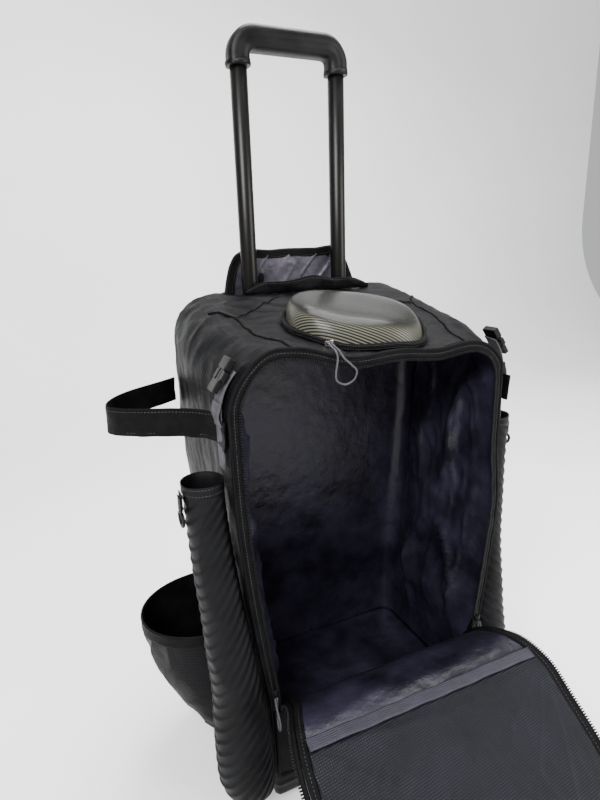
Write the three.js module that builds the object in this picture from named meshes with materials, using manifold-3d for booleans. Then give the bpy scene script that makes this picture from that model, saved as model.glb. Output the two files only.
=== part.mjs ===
// A wheeled catcher's bag that is also carried on the back, standing open and empty.
// Millimetres. +X is to the right seen from the front, -Y is the front, +Z is up.
// The origin is the middle of the front foot's underside, on the ground.
import * as THREE from "three";
import { mergeVertices } from "three/addons/utils/BufferGeometryUtils.js";
import Module from "manifold-3d";

const wasm = await Module();
wasm.setup();

// Clearances
const seamGap = 0.4; // between two sewn panels
const clothGap = 0.8; // between a piece and the cloth it lies on
const rimGap = 0.3; // between hard pieces that bear on each other
const sleeveGap = 2; // between a sleeve and the side that it is sewn to

// Main form
const bodyWidth = 410;
const bodyDepth = 290;
const frontY = -30; // the plane of the opening
const backY = frontY + bodyDepth;
const frontTopHeight = 650; // top panel at the front corners
const backTopHeight = 712;
const frontSag = 8; // how far the top panel's front edge hangs in the middle
const sideBulge = 6;
const shoulderRadius = 64;
const backCornerRadius = 34;
const clothWall = 3; // padded nylon
const panelFoot = 60; // lower edge of the cloth, on the base tray
const hingeHeight = 168; // where the flap joins the lower front
const zipTapeWidth = 13;
const zipTapeThickness = 2;

// Lining
const liningWall = 1.2;
const liningFloor = 64;
const liningBackSetback = 44; // room for the pull handle behind the lining
const liningCornerRadius = 24;

// Flap
const flapLength = 466;
const flapHalfWidth = 190;
const flapThickness = 7;
const flapPipingRadius = 3.2;
const flapCornerRadius = 64;
const netThickness = 1.2;
const netLift = 1.1;
const netBindingWidth = 15;
const netBindingThickness = 2;
const netInset = 14; // from the flap's edge to the net's

// Bat sleeves
const sleeveMouthHeight = 510;
const sleeveFootHeight = 58;
const sleeveRadius = 37; // at its fullest
const sleeveWall = 2.5;
const ribHeight = 1.8;
const ribPitch = 16;
const ribRise = 70; // how much higher a rib is at its inner end

// Side pockets
const pocketMouthHeight = 238;
const pocketFootHeight = 26;
const pocketReach = 124; // how far the mouth stands out
const pocketHalfLength = 86;
const pocketSetback = 186; // from the opening back to its middle
const pocketWall = 2;

// Straps on the sides
const guardStrapWidth = 36;
const guardStrapDrop = 84; // from the top of the front down to the strap's middle
const guardStrapHeight = frontTopHeight - guardStrapDrop;
const guardStrapReach = 102;
const strapThickness = 1.8;
const batStrapWidth = 25;
const batStrapDrop = 14;
const batStrapTop = frontTopHeight - batStrapDrop;
const batStrapLength = 116;
const batStrapSetback = 26; // from the opening back to the strap's middle
const buckleLength = 44;
const buckleWidth = 30;
const buckleThickness = 9;
const buckleDrop = 8; // from the strap's end down to the buckle's middle
const buckleLift = 1.9; // its flat back off the round shoulder
const ringRadius = 11;
const ringWire = 2;
const ringTabDrop = 22; // from the sleeve's mouth down to the tab's middle
const ringTabLength = 24;
const ringTabWidth = 16;
const ringTabThickness = 3;

// Shell pocket on the top
const shellWidth = 184;
const shellDepth = 142;
const shellHeight = 32; // at its middle
const shellWall = 2;
const shellMiddleX = 3;
const shellSetback = 82; // from the opening back to its middle
const shellZipHeight = 7;
const shellZipWidth = 4;
const sliderLength = 12;
const sliderWidth = 9;
const sliderThickness = 4;
const pullDiameter = 2.4;

// Hood and lip of the handle compartment
const mouthHalfWidth = 122;
const mouthDepth = 37;
const hoodHalfWidth = 118;
const hoodLift = 14.8; // from the plate round the tubes up to the hood
const hoodHeight = 70.2;
const hoodThickness = 3;
const hoodWing = 16; // how far its ends curve forward
const hoodStraight = 94; // half of its straight stretch
const hoodBindingWidth = 14;
const hoodBindingThickness = 4.5;
const lipLength = 216;
const lipHeight = 20;
const lipThickness = 7;
const lipMiddleX = 12;

// Pull handle
const handleSpacing = 156;
const handleSetback = 26; // from the back face to the tubes
const tubeDiameter = 25;
const tubeWall = 2;
const tubeFootHeight = 430;
const outerTubeWall = 1.8;
const slideClearance = 0.5;
const gripTop = 1073;
const gripDiameter = 35;
const collarFoot = 1018;
const gripCorner = 24;
const plateThickness = 6;
const plateDrop = 30;
const plateHeight = backTopHeight - plateDrop; // upper face of the plate round the tubes
const plateHalfLength = 116;

// Base and wheels
const trayFoot = 24;
const trayWall = 4;
const trayOverhang = 1;
const trayFrontCorner = 8;
const wheelDiameter = 76;
const wheelWidth = 24;
const wheelSpacing = 302;
const wheelSetback = 3; // from the back face to the axle
const hubDiameter = 50;
const axleDiameter = 8;
const axleClearance = 0.3;
const wheelRoom = 4; // between tyre and housing
const wheelSideRoom = 1.5;
const housingWall = 3;
const footLength = 250;
const footDepth = 34;

// Back
const padHalfWidth = 128;
const padFoot = 130;
const padTop = 600;
const padThickness = 12;
const padCorner = 36;
const padCornerPoints = 5;
const padEdge = 5; // how far its front face stays inside its outline
const shoulderStrapWidth = 66;
const shoulderStrapThickness = 10;
const shoulderStrapTop = 636;
const shoulderStrapFoot = 214;
const shoulderStrapBow = 34; // how far it stands off the back
const shoulderStrapInner = 56; // middle of the strap at its top
const shoulderStrapOuter = 104; // and at its foot
const webbingWidth = 25;
const webbingTail = 44; // how far it runs down below the pad

const halfWidth = bodyWidth / 2;
const liningBackY = backY - liningBackSetback;
const handleY = backY - handleSetback;
const wheelY = backY - wheelSetback;
const wheelRadius = wheelDiameter / 2;
const pocketMiddleY = frontY + pocketSetback;
const batStrapFoot = batStrapTop - batStrapLength;
const shellMiddleY = frontY + shellSetback;
const hoodFoot = plateHeight + hoodLift;
const hoodTop = hoodFoot + hoodHeight;
const vec = (x, y, z) => new THREE.Vector3(x, y, z);
const mix = THREE.MathUtils.lerp;

// The value of a table's column at a share between 0 and 1, straight between its rows
function fromTable(table, column, share) {
  const last = table.length - 1;
  const next = table.findIndex((row, k) => k > 0 && (share <= row.at || k === last));
  const low = table[next - 1];
  const high = table[next];
  return mix(low[column], high[column], (share - low.at) / (high.at - low.at));
}

function shares(count) {
  return Array.from({ length: count + 1 }, (_, k) => k / count);
}

// A closed surface from points and triangles, turned so that it faces out
function closedGeometry(points, faces) {
  const cross = new THREE.Vector3();
  let volume = 0;
  for (const [a, b, c] of faces) volume += points[a].dot(cross.crossVectors(points[b], points[c]));
  const turned = volume < 0 ? faces.map(([a, b, c]) => [a, c, b]) : faces;
  const geometry = new THREE.BufferGeometry();
  const values = points.flatMap((p) => [p.x, p.y, p.z]);
  geometry.setAttribute("position", new THREE.Float32BufferAttribute(values, 3));
  geometry.setIndex(turned.flat());
  return geometry;
}

// Two triangles for each step between two rows of point numbers
function bridge(faces, rowA, rowB, closed) {
  const steps = closed ? rowA.length : rowA.length - 1;
  for (let k = 0; k < steps; k++) {
    const next = (k + 1) % rowA.length;
    faces.push([rowA[k], rowB[k], rowB[next]], [rowA[k], rowB[next], rowA[next]]);
  }
}

// A wall between an outer and an inner grid of points that match row by row
function wallSolid(outer, inner) {
  const grid = [...outer, ...[...inner].reverse()];
  const width = outer[0].length;
  const number = (row, column) => row * width + column;
  const rows = grid.map((row, r) => row.map((_, c) => number(r, c)));
  const faces = [];
  rows.forEach((row, r) => bridge(faces, row, rows[(r + 1) % rows.length], false));
  const last = grid.length - 1;
  for (let r = 0; r < outer.length - 1; r++) {
    for (const [column, a, b] of [[0, r + 1, r], [width - 1, r, r + 1]]) {
      const corner = [a, b, last - b, last - a].map((row) => number(row, column));
      faces.push([corner[0], corner[1], corner[2]], [corner[0], corner[2], corner[3]]);
    }
  }
  return closedGeometry(grid.flat(), faces);
}

// A solid through closed rings of points, with a fan over the first and the last ring
function loft(rings) {
  const width = rings[0].length;
  const rows = rings.map((ring, r) => ring.map((_, c) => r * width + c));
  const faces = [];
  for (let r = 1; r < rows.length; r++) bridge(faces, rows[r - 1], rows[r], true);
  const points = rings.flat();
  const middle = (ring) => ring.reduce((sum, p) => sum.add(p), vec(0, 0, 0)).divideScalar(width);
  points.push(middle(rings[0]), middle(rings.at(-1)));
  for (let k = 0; k < width; k++) {
    const next = (k + 1) % width;
    faces.push([points.length - 2, rows[0][k], rows[0][next]]);
    faces.push([points.length - 1, rows.at(-1)[next], rows.at(-1)[k]]);
  }
  return closedGeometry(points, faces);
}

// The direction of a path at its point k
function headingAt(path, k) {
  const before = path[Math.max(k - 1, 0)];
  const after = path[Math.min(k + 1, path.length - 1)];
  return after.clone().sub(before).normalize();
}

const flatSection = [[1, 1], [1, -1], [-1, -1], [-1, 1]];
const paddedSection = [[1, 0.3], [0.75, 1], [-0.75, 1], [-1, 0.3], [-1, -0.3], [-0.75, -1], [0.75, -1], [1, -0.3]];

// A strap along a path: across gives the direction of its width for a heading
function strap(path, across, width, thickness, section = flatSection) {
  return loft(
    path.map((point, k) => {
      const heading = headingAt(path, k);
      const side = across(heading);
      const face = vec(0, 0, 0).crossVectors(side, heading).normalize();
      return section.map(([s, f]) =>
        point.clone().addScaledVector(side, (s * width) / 2).addScaledVector(face, (f * thickness) / 2),
      );
    }),
  );
}

function circleShape(radius, sides) {
  const turn = (k) => (2 * Math.PI * k) / sides;
  const spot = (_, k) => new THREE.Vector2(radius * Math.cos(turn(k)), radius * Math.sin(turn(k)));
  return new THREE.Shape(Array.from({ length: sides }, spot));
}

function alongCurve(shape, curve, steps) {
  return new THREE.ExtrudeGeometry(shape, { steps, extrudePath: curve, bevelEnabled: false });
}

// A cylinder of any axis, as a three.js geometry in place
function roundBar(radius, length, axis, middle, sides = 24) {
  const bar = new THREE.CylinderGeometry(radius, radius, length, sides);
  bar.applyQuaternion(new THREE.Quaternion().setFromUnitVectors(vec(0, 1, 0), axis));
  return bar.translate(middle.x, middle.y, middle.z);
}

function block(low, high) {
  const size = high.clone().sub(low);
  const box = new THREE.BoxGeometry(size.x, size.y, size.z);
  return box.translate((low.x + high.x) / 2, (low.y + high.y) / 2, (low.z + high.z) / 2);
}

function toSolid(geometry) {
  const bare = new THREE.BufferGeometry();
  bare.setAttribute("position", geometry.getAttribute("position"));
  bare.setIndex(geometry.getIndex());
  const merged = mergeVertices(bare, 1e-3);
  return new wasm.Manifold(
    new wasm.Mesh({
      numProp: 3,
      vertProperties: new Float32Array(merged.attributes.position.array),
      triVerts: new Uint32Array(merged.index.array),
    }),
  );
}

function toGeometry(solid) {
  const mesh = solid.getMesh();
  const geometry = new THREE.BufferGeometry();
  geometry.setAttribute("position", new THREE.BufferAttribute(mesh.vertProperties, 3));
  geometry.setIndex(new THREE.BufferAttribute(mesh.triVerts, 1));
  return geometry;
}

function cut(geometry, ...tools) {
  return toGeometry(tools.reduce((solid, tool) => solid.subtract(toSolid(tool)), toSolid(geometry)));
}

function join(geometry, ...others) {
  return toGeometry(others.reduce((solid, other) => solid.add(toSolid(other)), toSolid(geometry)));
}

// Colours and finishes seen on the real bag
const finish = (color, roughness, metalness = 0) => ({ color, roughness, metalness });
const nylon = finish(0x17181a, 0.85);
const satin = finish(0x4a4658, 0.4);
const ribbed = finish(0x141516, 0.8);
const webbing = finish(0x5b5a60, 0.8);
const plastic = finish(0x1b1c1c, 0.5);
const carbonLook = finish(0x3a3a34, 0.3);
const blackTube = finish(0x1a1a19, 0.35, 0.6);
const rubber = finish(0x202020, 0.9);
const nickel = finish(0xb8b6b0, 0.3, 1);

const bag = new THREE.Group();
const handle = new THREE.Group();
bag.add(handle);

function addPiece(name, geometry, look, group = bag) {
  const mesh = new THREE.Mesh(geometry, new THREE.MeshStandardMaterial(look));
  mesh.name = name;
  group.add(mesh);
}

// The same piece on both sides: make(side) draws it with side -1 on the left and 1 on the right
function addPair(name, make, look, group = bag) {
  addPiece(name + "_left", make(-1), look, group);
  addPiece(name + "_right", make(1), look, group);
}

// Half width of the bag by share of the side's height: the lower part is drawn in by the full sleeves
const widthTable = [
  { at: 0, width: 0.84 },
  { at: 0.25, width: 0.855 },
  { at: 0.42, width: 0.91 },
  { at: 0.58, width: 0.955 },
  { at: 0.76, width: 0.99 },
  { at: 1, width: 1 },
];

const topAt = (y) => mix(frontTopHeight, backTopHeight, (y - frontY) / bodyDepth);
const bulgeAt = (y) => sideBulge * Math.sin((Math.PI * (y - frontY)) / bodyDepth);

function sideX(y, z) {
  const share = (z - panelFoot) / (topAt(y) - shoulderRadius - panelFoot);
  return halfWidth * fromTable(widthTable, "width", share) + bulgeAt(y) * Math.min(share + 0.2, 1);
}

// Height of the top panel between the shoulders
function topHeight(x, y) {
  const share = Math.min(Math.abs(x) / (halfWidth - shoulderRadius), 1);
  const forward = 1 - (y - frontY) / bodyDepth;
  return topAt(y) - frontSag * Math.cos((share * Math.PI) / 2) ** 2 * forward ** 2;
}

// Where the arch's stretches end, as shares of the way from the top's middle down to the foot
const shoulderStart = 0.3;
const shoulderEnd = 0.46;

// A point of the arch at depth y: way runs from -1, the left foot, over the top to 1, the right foot
function archPoint(way, y, inset, foot = panelFoot) {
  const side = Math.sign(way) || 1;
  const part = Math.abs(way);
  const shoulderX = halfWidth - shoulderRadius + bulgeAt(y);
  const shoulderZ = topAt(y) - shoulderRadius;
  const radius = shoulderRadius - inset;
  if (part <= shoulderStart) {
    const x = (part / shoulderStart) * shoulderX;
    const flatX = (part / shoulderStart) * (halfWidth - shoulderRadius);
    return vec(side * x, y, topHeight(flatX, y) - inset);
  }
  if (part <= shoulderEnd) {
    const turn = (((part - shoulderStart) / (shoulderEnd - shoulderStart)) * Math.PI) / 2;
    return vec(side * (shoulderX + radius * Math.sin(turn)), y, shoulderZ + radius * Math.cos(turn));
  }
  const z = mix(shoulderZ, foot, (part - shoulderEnd) / (1 - shoulderEnd));
  return vec(side * (sideX(y, z) - inset), y, z);
}

// A point of the hull: depth runs from 0 at the front to 1, where the rounded back corner ends
const cornerStart = 0.82;
function hullPoint(way, depth, inset, hull) {
  const straightEnd = hull.back - hull.corner;
  if (depth <= cornerStart) {
    return archPoint(way, mix(hull.front, straightEnd, depth / cornerStart), inset, hull.foot);
  }
  const turn = (((depth - cornerStart) / (1 - cornerStart)) * Math.PI) / 2;
  const radius = hull.corner - (inset - hull.inset);
  const inward = hull.inset + hull.corner - radius * Math.cos(turn);
  return archPoint(way, straightEnd + radius * Math.sin(turn), inward, hull.foot);
}

const outerHull = { front: frontY, back: backY, corner: backCornerRadius, inset: 0, foot: panelFoot };
const liningHull = {
  front: frontY + clothWall + clothGap,
  back: liningBackY,
  corner: liningCornerRadius,
  inset: clothWall + clothGap,
  foot: liningFloor,
};
const straightSteps = [0, 0.25, 0.5, 0.75, 1].map((share) => share * cornerStart);
const depthSteps = [...straightSteps, 0.88, 0.94, 1];

function hullPanel(ways) {
  const grid = (inset) => ways.map((way) => depthSteps.map((d) => hullPoint(way, d, inset, outerHull)));
  return wallSolid(grid(0), grid(clothWall));
}

const seamWay = seamGap / bodyWidth;
const topSteps = [0.25, 0.5, 0.75, 1]; // shares of the flat top's half
const shoulderSteps = [0.355, 0.405, shoulderEnd];
const sideSteps = [0.57, 0.66, 0.75, 0.84, 0.92, 1];

// Wheel housings come first, because the base and the back are cut round them
function housingRoom(side, extra) {
  const width = wheelWidth + 2 * (wheelSideRoom + housingWall + extra);
  const radius = wheelRadius + wheelRoom + housingWall + extra;
  const middle = vec((side * wheelSpacing) / 2, wheelY, wheelRadius);
  return roundBar(radius, width, vec(1, 0, 0), middle, 28);
}

function topPanel() {
  const right = topSteps.map((share) => share * (shoulderStart - seamWay));
  const ways = [...[...right].reverse().map((way) => -way), 0, ...right];
  const mouth = block(
    vec(-mouthHalfWidth, liningBackY - seamGap, hoodFoot - shoulderRadius),
    vec(mouthHalfWidth, liningBackY - seamGap + mouthDepth, hoodTop),
  );
  return cut(hullPanel(ways), mouth);
}

function sidePanel(side) {
  const ways = [shoulderStart + seamWay, ...shoulderSteps, ...sideSteps].map((way) => side * way);
  return cut(hullPanel(ways), housingRoom(side, rimGap));
}

// The flat back inside the rounded corners, with notches for the wheel housings
function backPanel() {
  const ways = [shoulderStart, ...shoulderSteps, ...sideSteps];
  const grid = (y) =>
    ways.map((way) => {
      const edge = archPoint(way, y, backCornerRadius + seamGap);
      return shares(4).map((share) => vec(mix(-edge.x, edge.x, share), y, edge.z));
    });
  const notches = [-1, 1].map((side) => housingRoom(side, rimGap));
  return cut(wallSolid(grid(backY), grid(backY - clothWall)), ...notches);
}

function lowerFront() {
  const grid = (setback) =>
    shares(3).map((up) => {
      const z = mix(panelFoot, hingeHeight, up);
      const half = sideX(frontY, z) - clothWall - seamGap;
      return shares(8).map((share) => {
        const across = mix(-1, 1, share);
        const swell = sideBulge * (1 - across ** 2) * Math.sin((Math.PI * (up + 0.3)) / 1.6);
        return vec(across * half, frontY - swell + setback, z);
      });
    });
  return wallSolid(grid(0), grid(clothWall));
}

// The lining is a thin bag of its own inside the panels, open at the front
function mainLining() {
  const top = topSteps.map((share) => share * shoulderStart).reverse();
  const arch = [...top.toReversed(), ...shoulderSteps, ...sideSteps].reverse();
  const ways = [...arch, 0, ...[...arch].reverse().map((way) => -way)];
  const ring = (depth, extra) => {
    const points = ways.map((way) => hullPoint(way, depth, liningHull.inset + extra, liningHull));
    points.forEach((point) => (point.z += Math.abs(point.z - liningFloor) < 1e-6 ? extra : 0));
    return points;
  };
  const depths = [...straightSteps, 0.91, 1];
  const outer = depths.map((depth) => ring(depth, 0));
  const inner = depths.map((depth) => ring(depth, liningWall));
  return loft([...outer.reverse(), ...inner]);
}

function openingZip() {
  const ways = [0.88, 0.75, 0.66, 0.57, ...[...shoulderSteps].reverse(), 0.325, shoulderStart, 0.2, 0.1];
  const path = [...ways, 0, ...[...ways].reverse().map((way) => -way)];
  const start = frontY - seamGap;
  return loft(
    path.map((way) => {
      const spot = (inset, setback) => {
        const point = archPoint(way, frontY, inset);
        return vec(point.x, start - setback, point.z);
      };
      return [
        spot(0, 0),
        spot(zipTapeWidth, zipTapeThickness),
        spot(zipTapeWidth, 2 * zipTapeThickness),
        spot(0, zipTapeThickness),
      ];
    }),
  );
}

addPiece("top_panel", topPanel(), nylon);
addPair("side_panel", sidePanel, nylon);
addPiece("back_panel", backPanel(), nylon);
addPiece("lower_front_panel", lowerFront(), nylon);
addPiece("main_lining", mainLining(), satin);
addPiece("opening_zip", openingZip(), nylon);

// The flap's run from its hinge: over a crest and down to the ground, as shares of its length
const flapTable = [
  { at: 0, reach: 0.008, height: 0.362, half: 0.83 },
  { at: 0.07, reach: 0.043, height: 0.418, half: 0.84 },
  { at: 0.15, reach: 0.109, height: 0.461, half: 0.87 },
  { at: 0.215, reach: 0.172, height: 0.474, half: 0.93 },
  { at: 0.3, reach: 0.254, height: 0.453, half: 0.985 },
  { at: 0.42, reach: 0.354, height: 0.387, half: 1 },
  { at: 0.54, reach: 0.454, height: 0.32, half: 1 },
  { at: 0.755, reach: 0.62, height: 0.186, half: 1 },
  { at: 0.93, reach: 0.745, height: 0.063, half: 1 },
  { at: 1, reach: 0.781, height: 0.011, half: 1 },
];

// A point of the flap at a share along it, half widths across, and a lift off its middle layer
function flapPoint(share, across, lift, inset = 0) {
  const along = share * (1 - inset / flapLength);
  const y = (at) => frontY - flapLength * fromTable(flapTable, "reach", at);
  const z = (at) => flapLength * fromTable(flapTable, "height", at);
  const step = 0.04;
  const before = Math.max(along - step, 0);
  const after = Math.min(along + step, 1);
  const slope = Math.atan2(z(after) - z(before), y(before) - y(after));
  const radius = flapCornerRadius - inset;
  const left = (1 - share) * (flapLength - inset);
  const turnIn = Math.max(radius - left, 0);
  const corner = radius - Math.sqrt(radius ** 2 - turnIn ** 2);
  const half = flapHalfWidth * fromTable(flapTable, "half", along) - corner - inset;
  return vec(across * half, y(along) + lift * Math.sin(slope), z(along) + lift * Math.cos(slope));
}

// Steps along the flap, the last of them round its corners
const cornerSteps = shares(4).map((share) => 1 - (flapCornerRadius / flapLength) * (1 - Math.sin((share * Math.PI) / 2)));
const flapSteps = [0, 0.07, 0.15, 0.215, 0.3, 0.42, 0.54, 0.755, ...cornerSteps];

function flap() {
  const grid = (face) =>
    flapSteps.map((along) =>
      shares(6).map((share) => {
        const across = mix(-1, 1, share);
        const plump = flapThickness * mix(0.55, 1, Math.sqrt(1 - across ** 2));
        return flapPoint(along, across, (face * plump) / 2, flapPipingRadius + seamGap);
      }),
    );
  return wallSolid(grid(1), grid(-1));
}

const roundSection = [[1, 0], [0.5, 0.87], [-0.5, 0.87], [-1, 0], [-0.5, -0.87], [0.5, -0.87]];
function flapPiping() {
  const edge = (side) => flapSteps.map((along) => flapPoint(along, side, 0));
  const tip = [-0.4, 0, 0.4].map((across) => flapPoint(1, across, 0));
  const path = [...edge(-1), ...tip, ...edge(1).reverse()];
  const inPlane = (heading) => vec(0, -0.55, 1).cross(heading).normalize();
  return strap(path, inPlane, 2 * flapPipingRadius, 2 * flapPipingRadius, roundSection);
}

addPiece("flap", flap(), nylon);
addPiece("flap_binding", flapPiping(), nylon);

const netStart = 0.27;
const netEnd = 0.93;
function netSheet() {
  const grid = (extra) =>
    [netStart + netBindingWidth / flapLength, 0.42, 0.54, 0.755, 0.87, netEnd].map((along) =>
      shares(6).map((share) => {
        const lift = flapThickness / 2 + netLift + extra;
        return flapPoint(along, mix(-1, 1, share), lift, netInset);
      }),
    );
  return wallSolid(grid(netThickness), grid(0));
}

function netBinding() {
  const start = netStart + (netBindingWidth / 2 - seamGap) / flapLength;
  const lift = flapThickness / 2 + netLift + netBindingThickness / 2;
  const path = shares(6).map((share) => flapPoint(start, mix(-1, 1, share), lift, netInset));
  const down = flapPoint(start + 0.02, 0, 0).sub(flapPoint(start - 0.02, 0, 0)).normalize();
  return strap(path, () => down, netBindingWidth - 2 * seamGap, netBindingThickness);
}

addPiece("flap_net", netSheet(), satin);
addPiece("net_binding", netBinding(), satin);

// Radius of a sleeve by share of its height, and how far its middle stands in front of its mouth's middle
const sleeveTable = [
  { at: 0, radius: 0.86, forward: 0.85 },
  { at: 0.09, radius: 0.98, forward: 0.83 },
  { at: 0.2, radius: 1, forward: 0.74 },
  { at: 0.38, radius: 0.86, forward: 0.57 },
  { at: 0.6, radius: 0.73, forward: 0.28 },
  { at: 0.82, radius: 0.67, forward: 0.07 },
  { at: 1, radius: 0.66, forward: 0 },
];
const sleeveMouthSetback = 28; // from the opening back to the middle of the left mouth
const rightSleeveShift = 32; // how much further back the right sleeve hangs
const sleeveSides = 10;

function sleeveMiddle(side, z) {
  const share = Math.max((z - sleeveFootHeight) / (sleeveMouthHeight - sleeveFootHeight), 0);
  const radius = sleeveRadius * fromTable(sleeveTable, "radius", share);
  const setback = sleeveMouthSetback + (side > 0 ? rightSleeveShift : 0);
  const y = frontY + setback - sleeveRadius * fromTable(sleeveTable, "forward", share);
  const x = sideX(Math.max(y, frontY), Math.max(z, panelFoot)) + radius + ribHeight + sleeveGap;
  return { x: side * x, y, radius };
}

// A ring of the sleeve; the ribs climb from the outer side round the front to the bag's side
function sleeveRing(side, z, grow, climb, squeeze = 1) {
  return Array.from({ length: sleeveSides }, (_, k) => {
    const turn = (2 * Math.PI * k) / sleeveSides;
    const rise = climb * 0.5 * (1 - Math.cos(turn + 0.35));
    const level = Math.min(z + rise, sleeveMouthHeight);
    const middle = sleeveMiddle(side, level);
    const radius = (middle.radius + grow) * squeeze;
    const x = middle.x + side * radius * Math.cos(turn);
    return vec(x, middle.y - radius * Math.sin(turn), level);
  });
}

function batSleeve(side) {
  const body = sleeveMouthHeight - sleeveFootHeight;
  const capHeight = sleeveRadius * 0.55;
  const bottom = [0.55, 0.85].map((squeeze) => {
    const drop = capHeight * (1 - Math.sqrt(1 - squeeze ** 2));
    return sleeveRing(side, sleeveFootHeight + drop, 0, 0, squeeze);
  });
  const ribFoot = sleeveFootHeight + capHeight;
  const rows = 2 * Math.round((sleeveMouthHeight - ribFoot) / ribPitch);
  const outer = shares(rows).map((share, k) => {
    const fade = Math.min(1, 4 * share, 4 * (1 - share));
    return sleeveRing(side, mix(ribFoot, sleeveMouthHeight, share), k % 2 ? ribHeight : 0, ribRise * fade);
  });
  const inside = [1, 0.8, 0.6, 0.4, 0.2].map((share) =>
    sleeveRing(side, mix(sleeveFootHeight, sleeveMouthHeight, share), -sleeveWall, 0),
  );
  const floor = [0.9, 0.6].map((squeeze) =>
    sleeveRing(side, sleeveFootHeight + sleeveWall + body * (0.055 - 0.03 * (0.9 - squeeze)), -sleeveWall, 0, squeeze),
  );
  return loft([...bottom, ...outer, ...inside, ...floor]);
}

addPair("bat_sleeve", batSleeve, ribbed);

// How far a side pocket stands out, by share of its height
const pocketTable = [
  { at: 0, reach: 0.06 },
  { at: 0.03, reach: 0.36 },
  { at: 0.12, reach: 0.56 },
  { at: 0.3, reach: 0.74 },
  { at: 0.6, reach: 0.93 },
  { at: 0.85, reach: 1 },
  { at: 1, reach: 1 },
];

function sidePocket(side) {
  const grid = (inset) =>
    pocketTable.map((row) => {
      const z = mix(pocketFootHeight, pocketMouthHeight, row.at) + (row.at < 0.05 ? inset : 0);
      const reach = Math.max(pocketReach * row.reach - inset, clothGap);
      const length = pocketHalfLength * mix(0.8, 1, row.at) - inset;
      return shares(8).map((share) => {
        const turn = Math.PI * share;
        const y = pocketMiddleY - length * Math.cos(turn);
        const wall = sideX(Math.min(y, backY), Math.max(z, panelFoot)) + trayOverhang + clothGap;
        return vec(side * (wall + reach * Math.sin(turn) ** 0.8), y, z);
      });
    });
  return wallSolid(grid(0), grid(pocketWall));
}

addPair("side_pocket", sidePocket, nylon);

// How far the strap for a leg guard stands off the side, by share of its way to the back
const guardStrapTable = [
  { at: 0, reach: 0 },
  { at: 0.2, reach: 0.01 },
  { at: 0.3, reach: 0.26 },
  { at: 0.42, reach: 0.74 },
  { at: 0.52, reach: 0.98 },
  { at: 0.68, reach: 0.99 },
  { at: 0.82, reach: 0.7 },
  { at: 0.94, reach: 0.2 },
  { at: 1, reach: 0 },
];

function guardStrap(side) {
  const run = bodyDepth - backCornerRadius - clothWall;
  const path = shares(16).map((share) => {
    const y = frontY + clothWall + share * run;
    const off = clothGap + strapThickness * 2.2 + guardStrapReach * fromTable(guardStrapTable, "reach", share);
    return vec(side * (sideX(y, guardStrapHeight) + off), y, guardStrapHeight);
  });
  return strap(path, () => vec(0, 0, 1), guardStrapWidth, strapThickness);
}

addPair("guard_strap", guardStrap, nylon);

// A place on the side at a height, pushed out along the surface's normal
function onSide(side, y, z, off) {
  const shoulderZ = topAt(y) - shoulderRadius;
  if (z <= shoulderZ) return { point: vec(side * (sideX(y, z) + off), y, z), out: vec(side, 0, 0) };
  const turn = Math.asin(Math.min((z - shoulderZ) / shoulderRadius, 1));
  const out = vec(side * Math.cos(turn), 0, Math.sin(turn));
  const middle = vec(side * (halfWidth - shoulderRadius + bulgeAt(y)), y, shoulderZ);
  return { point: middle.addScaledVector(out, shoulderRadius + off), out };
}

const batStrapY = frontY + batStrapSetback;
const strapLift = clothGap + strapThickness / 2;
const topSlope = (backTopHeight - frontTopHeight) / bodyDepth;
const alongTop = (heading) => vec(0, 1, topSlope).addScaledVector(heading, -topSlope * heading.z).normalize();
function batStrap(side) {
  const path = shares(8).map(
    (share) => onSide(side, batStrapY, mix(batStrapFoot, batStrapTop, Math.sqrt(share)), strapLift).point,
  );
  return strap(path, alongTop, batStrapWidth, strapThickness);
}

// A side-release buckle: a flat case with a prong's shoulder showing on each side
function buckle(side) {
  const outline = new THREE.Shape();
  const halfLength = buckleLength / 2;
  const half = buckleWidth / 2;
  const points = [
    [-1, -0.8], [-0.3, -0.8], [-0.2, -1], [0.3, -1], [0.4, -0.75], [1, -0.75],
    [1, 0.75], [0.4, 0.75], [0.3, 1], [-0.2, 1], [-0.3, 0.8], [-1, 0.8],
  ];
  points.forEach(([u, v], k) => outline[k ? "lineTo" : "moveTo"](u * halfLength, v * half));
  const solid = new THREE.ExtrudeGeometry(outline, { depth: buckleThickness, bevelEnabled: false });
  const seat = onSide(side, batStrapY, batStrapTop - buckleDrop, clothGap + strapThickness + buckleLift);
  const acrossStrap = vec(0, side, 0);
  const along = vec(0, 0, 0).crossVectors(acrossStrap, seat.out);
  const frame = new THREE.Matrix4().makeBasis(along, acrossStrap, seat.out);
  return solid.applyMatrix4(frame.setPosition(seat.point));
}

addPair("bat_strap", batStrap, webbing);
addPair("bat_buckle", buckle, plastic);

// A D-ring on a tab at the outer side of each sleeve's mouth
function ringTab(side) {
  const z = sleeveMouthHeight - ringTabDrop;
  const middle = sleeveMiddle(side, z);
  const nearX = middle.x + side * (middle.radius + ribHeight + clothGap);
  const farX = nearX + side * ringTabThickness;
  const tabFoot = z - ringTabLength / 2;
  const low = vec(Math.min(nearX, farX), middle.y - ringTabWidth / 2, tabFoot);
  const high = vec(Math.max(nearX, farX), middle.y + ringTabWidth / 2, z + ringTabLength / 2);
  const ring = new THREE.TorusGeometry(ringRadius, ringWire, 5, 10);
  ring.rotateY(Math.PI / 2).translate((nearX + farX) / 2, middle.y, tabFoot - ringRadius * 0.7);
  return join(block(low, high), ring);
}

addPair("ring", ringTab, plastic);

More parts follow.
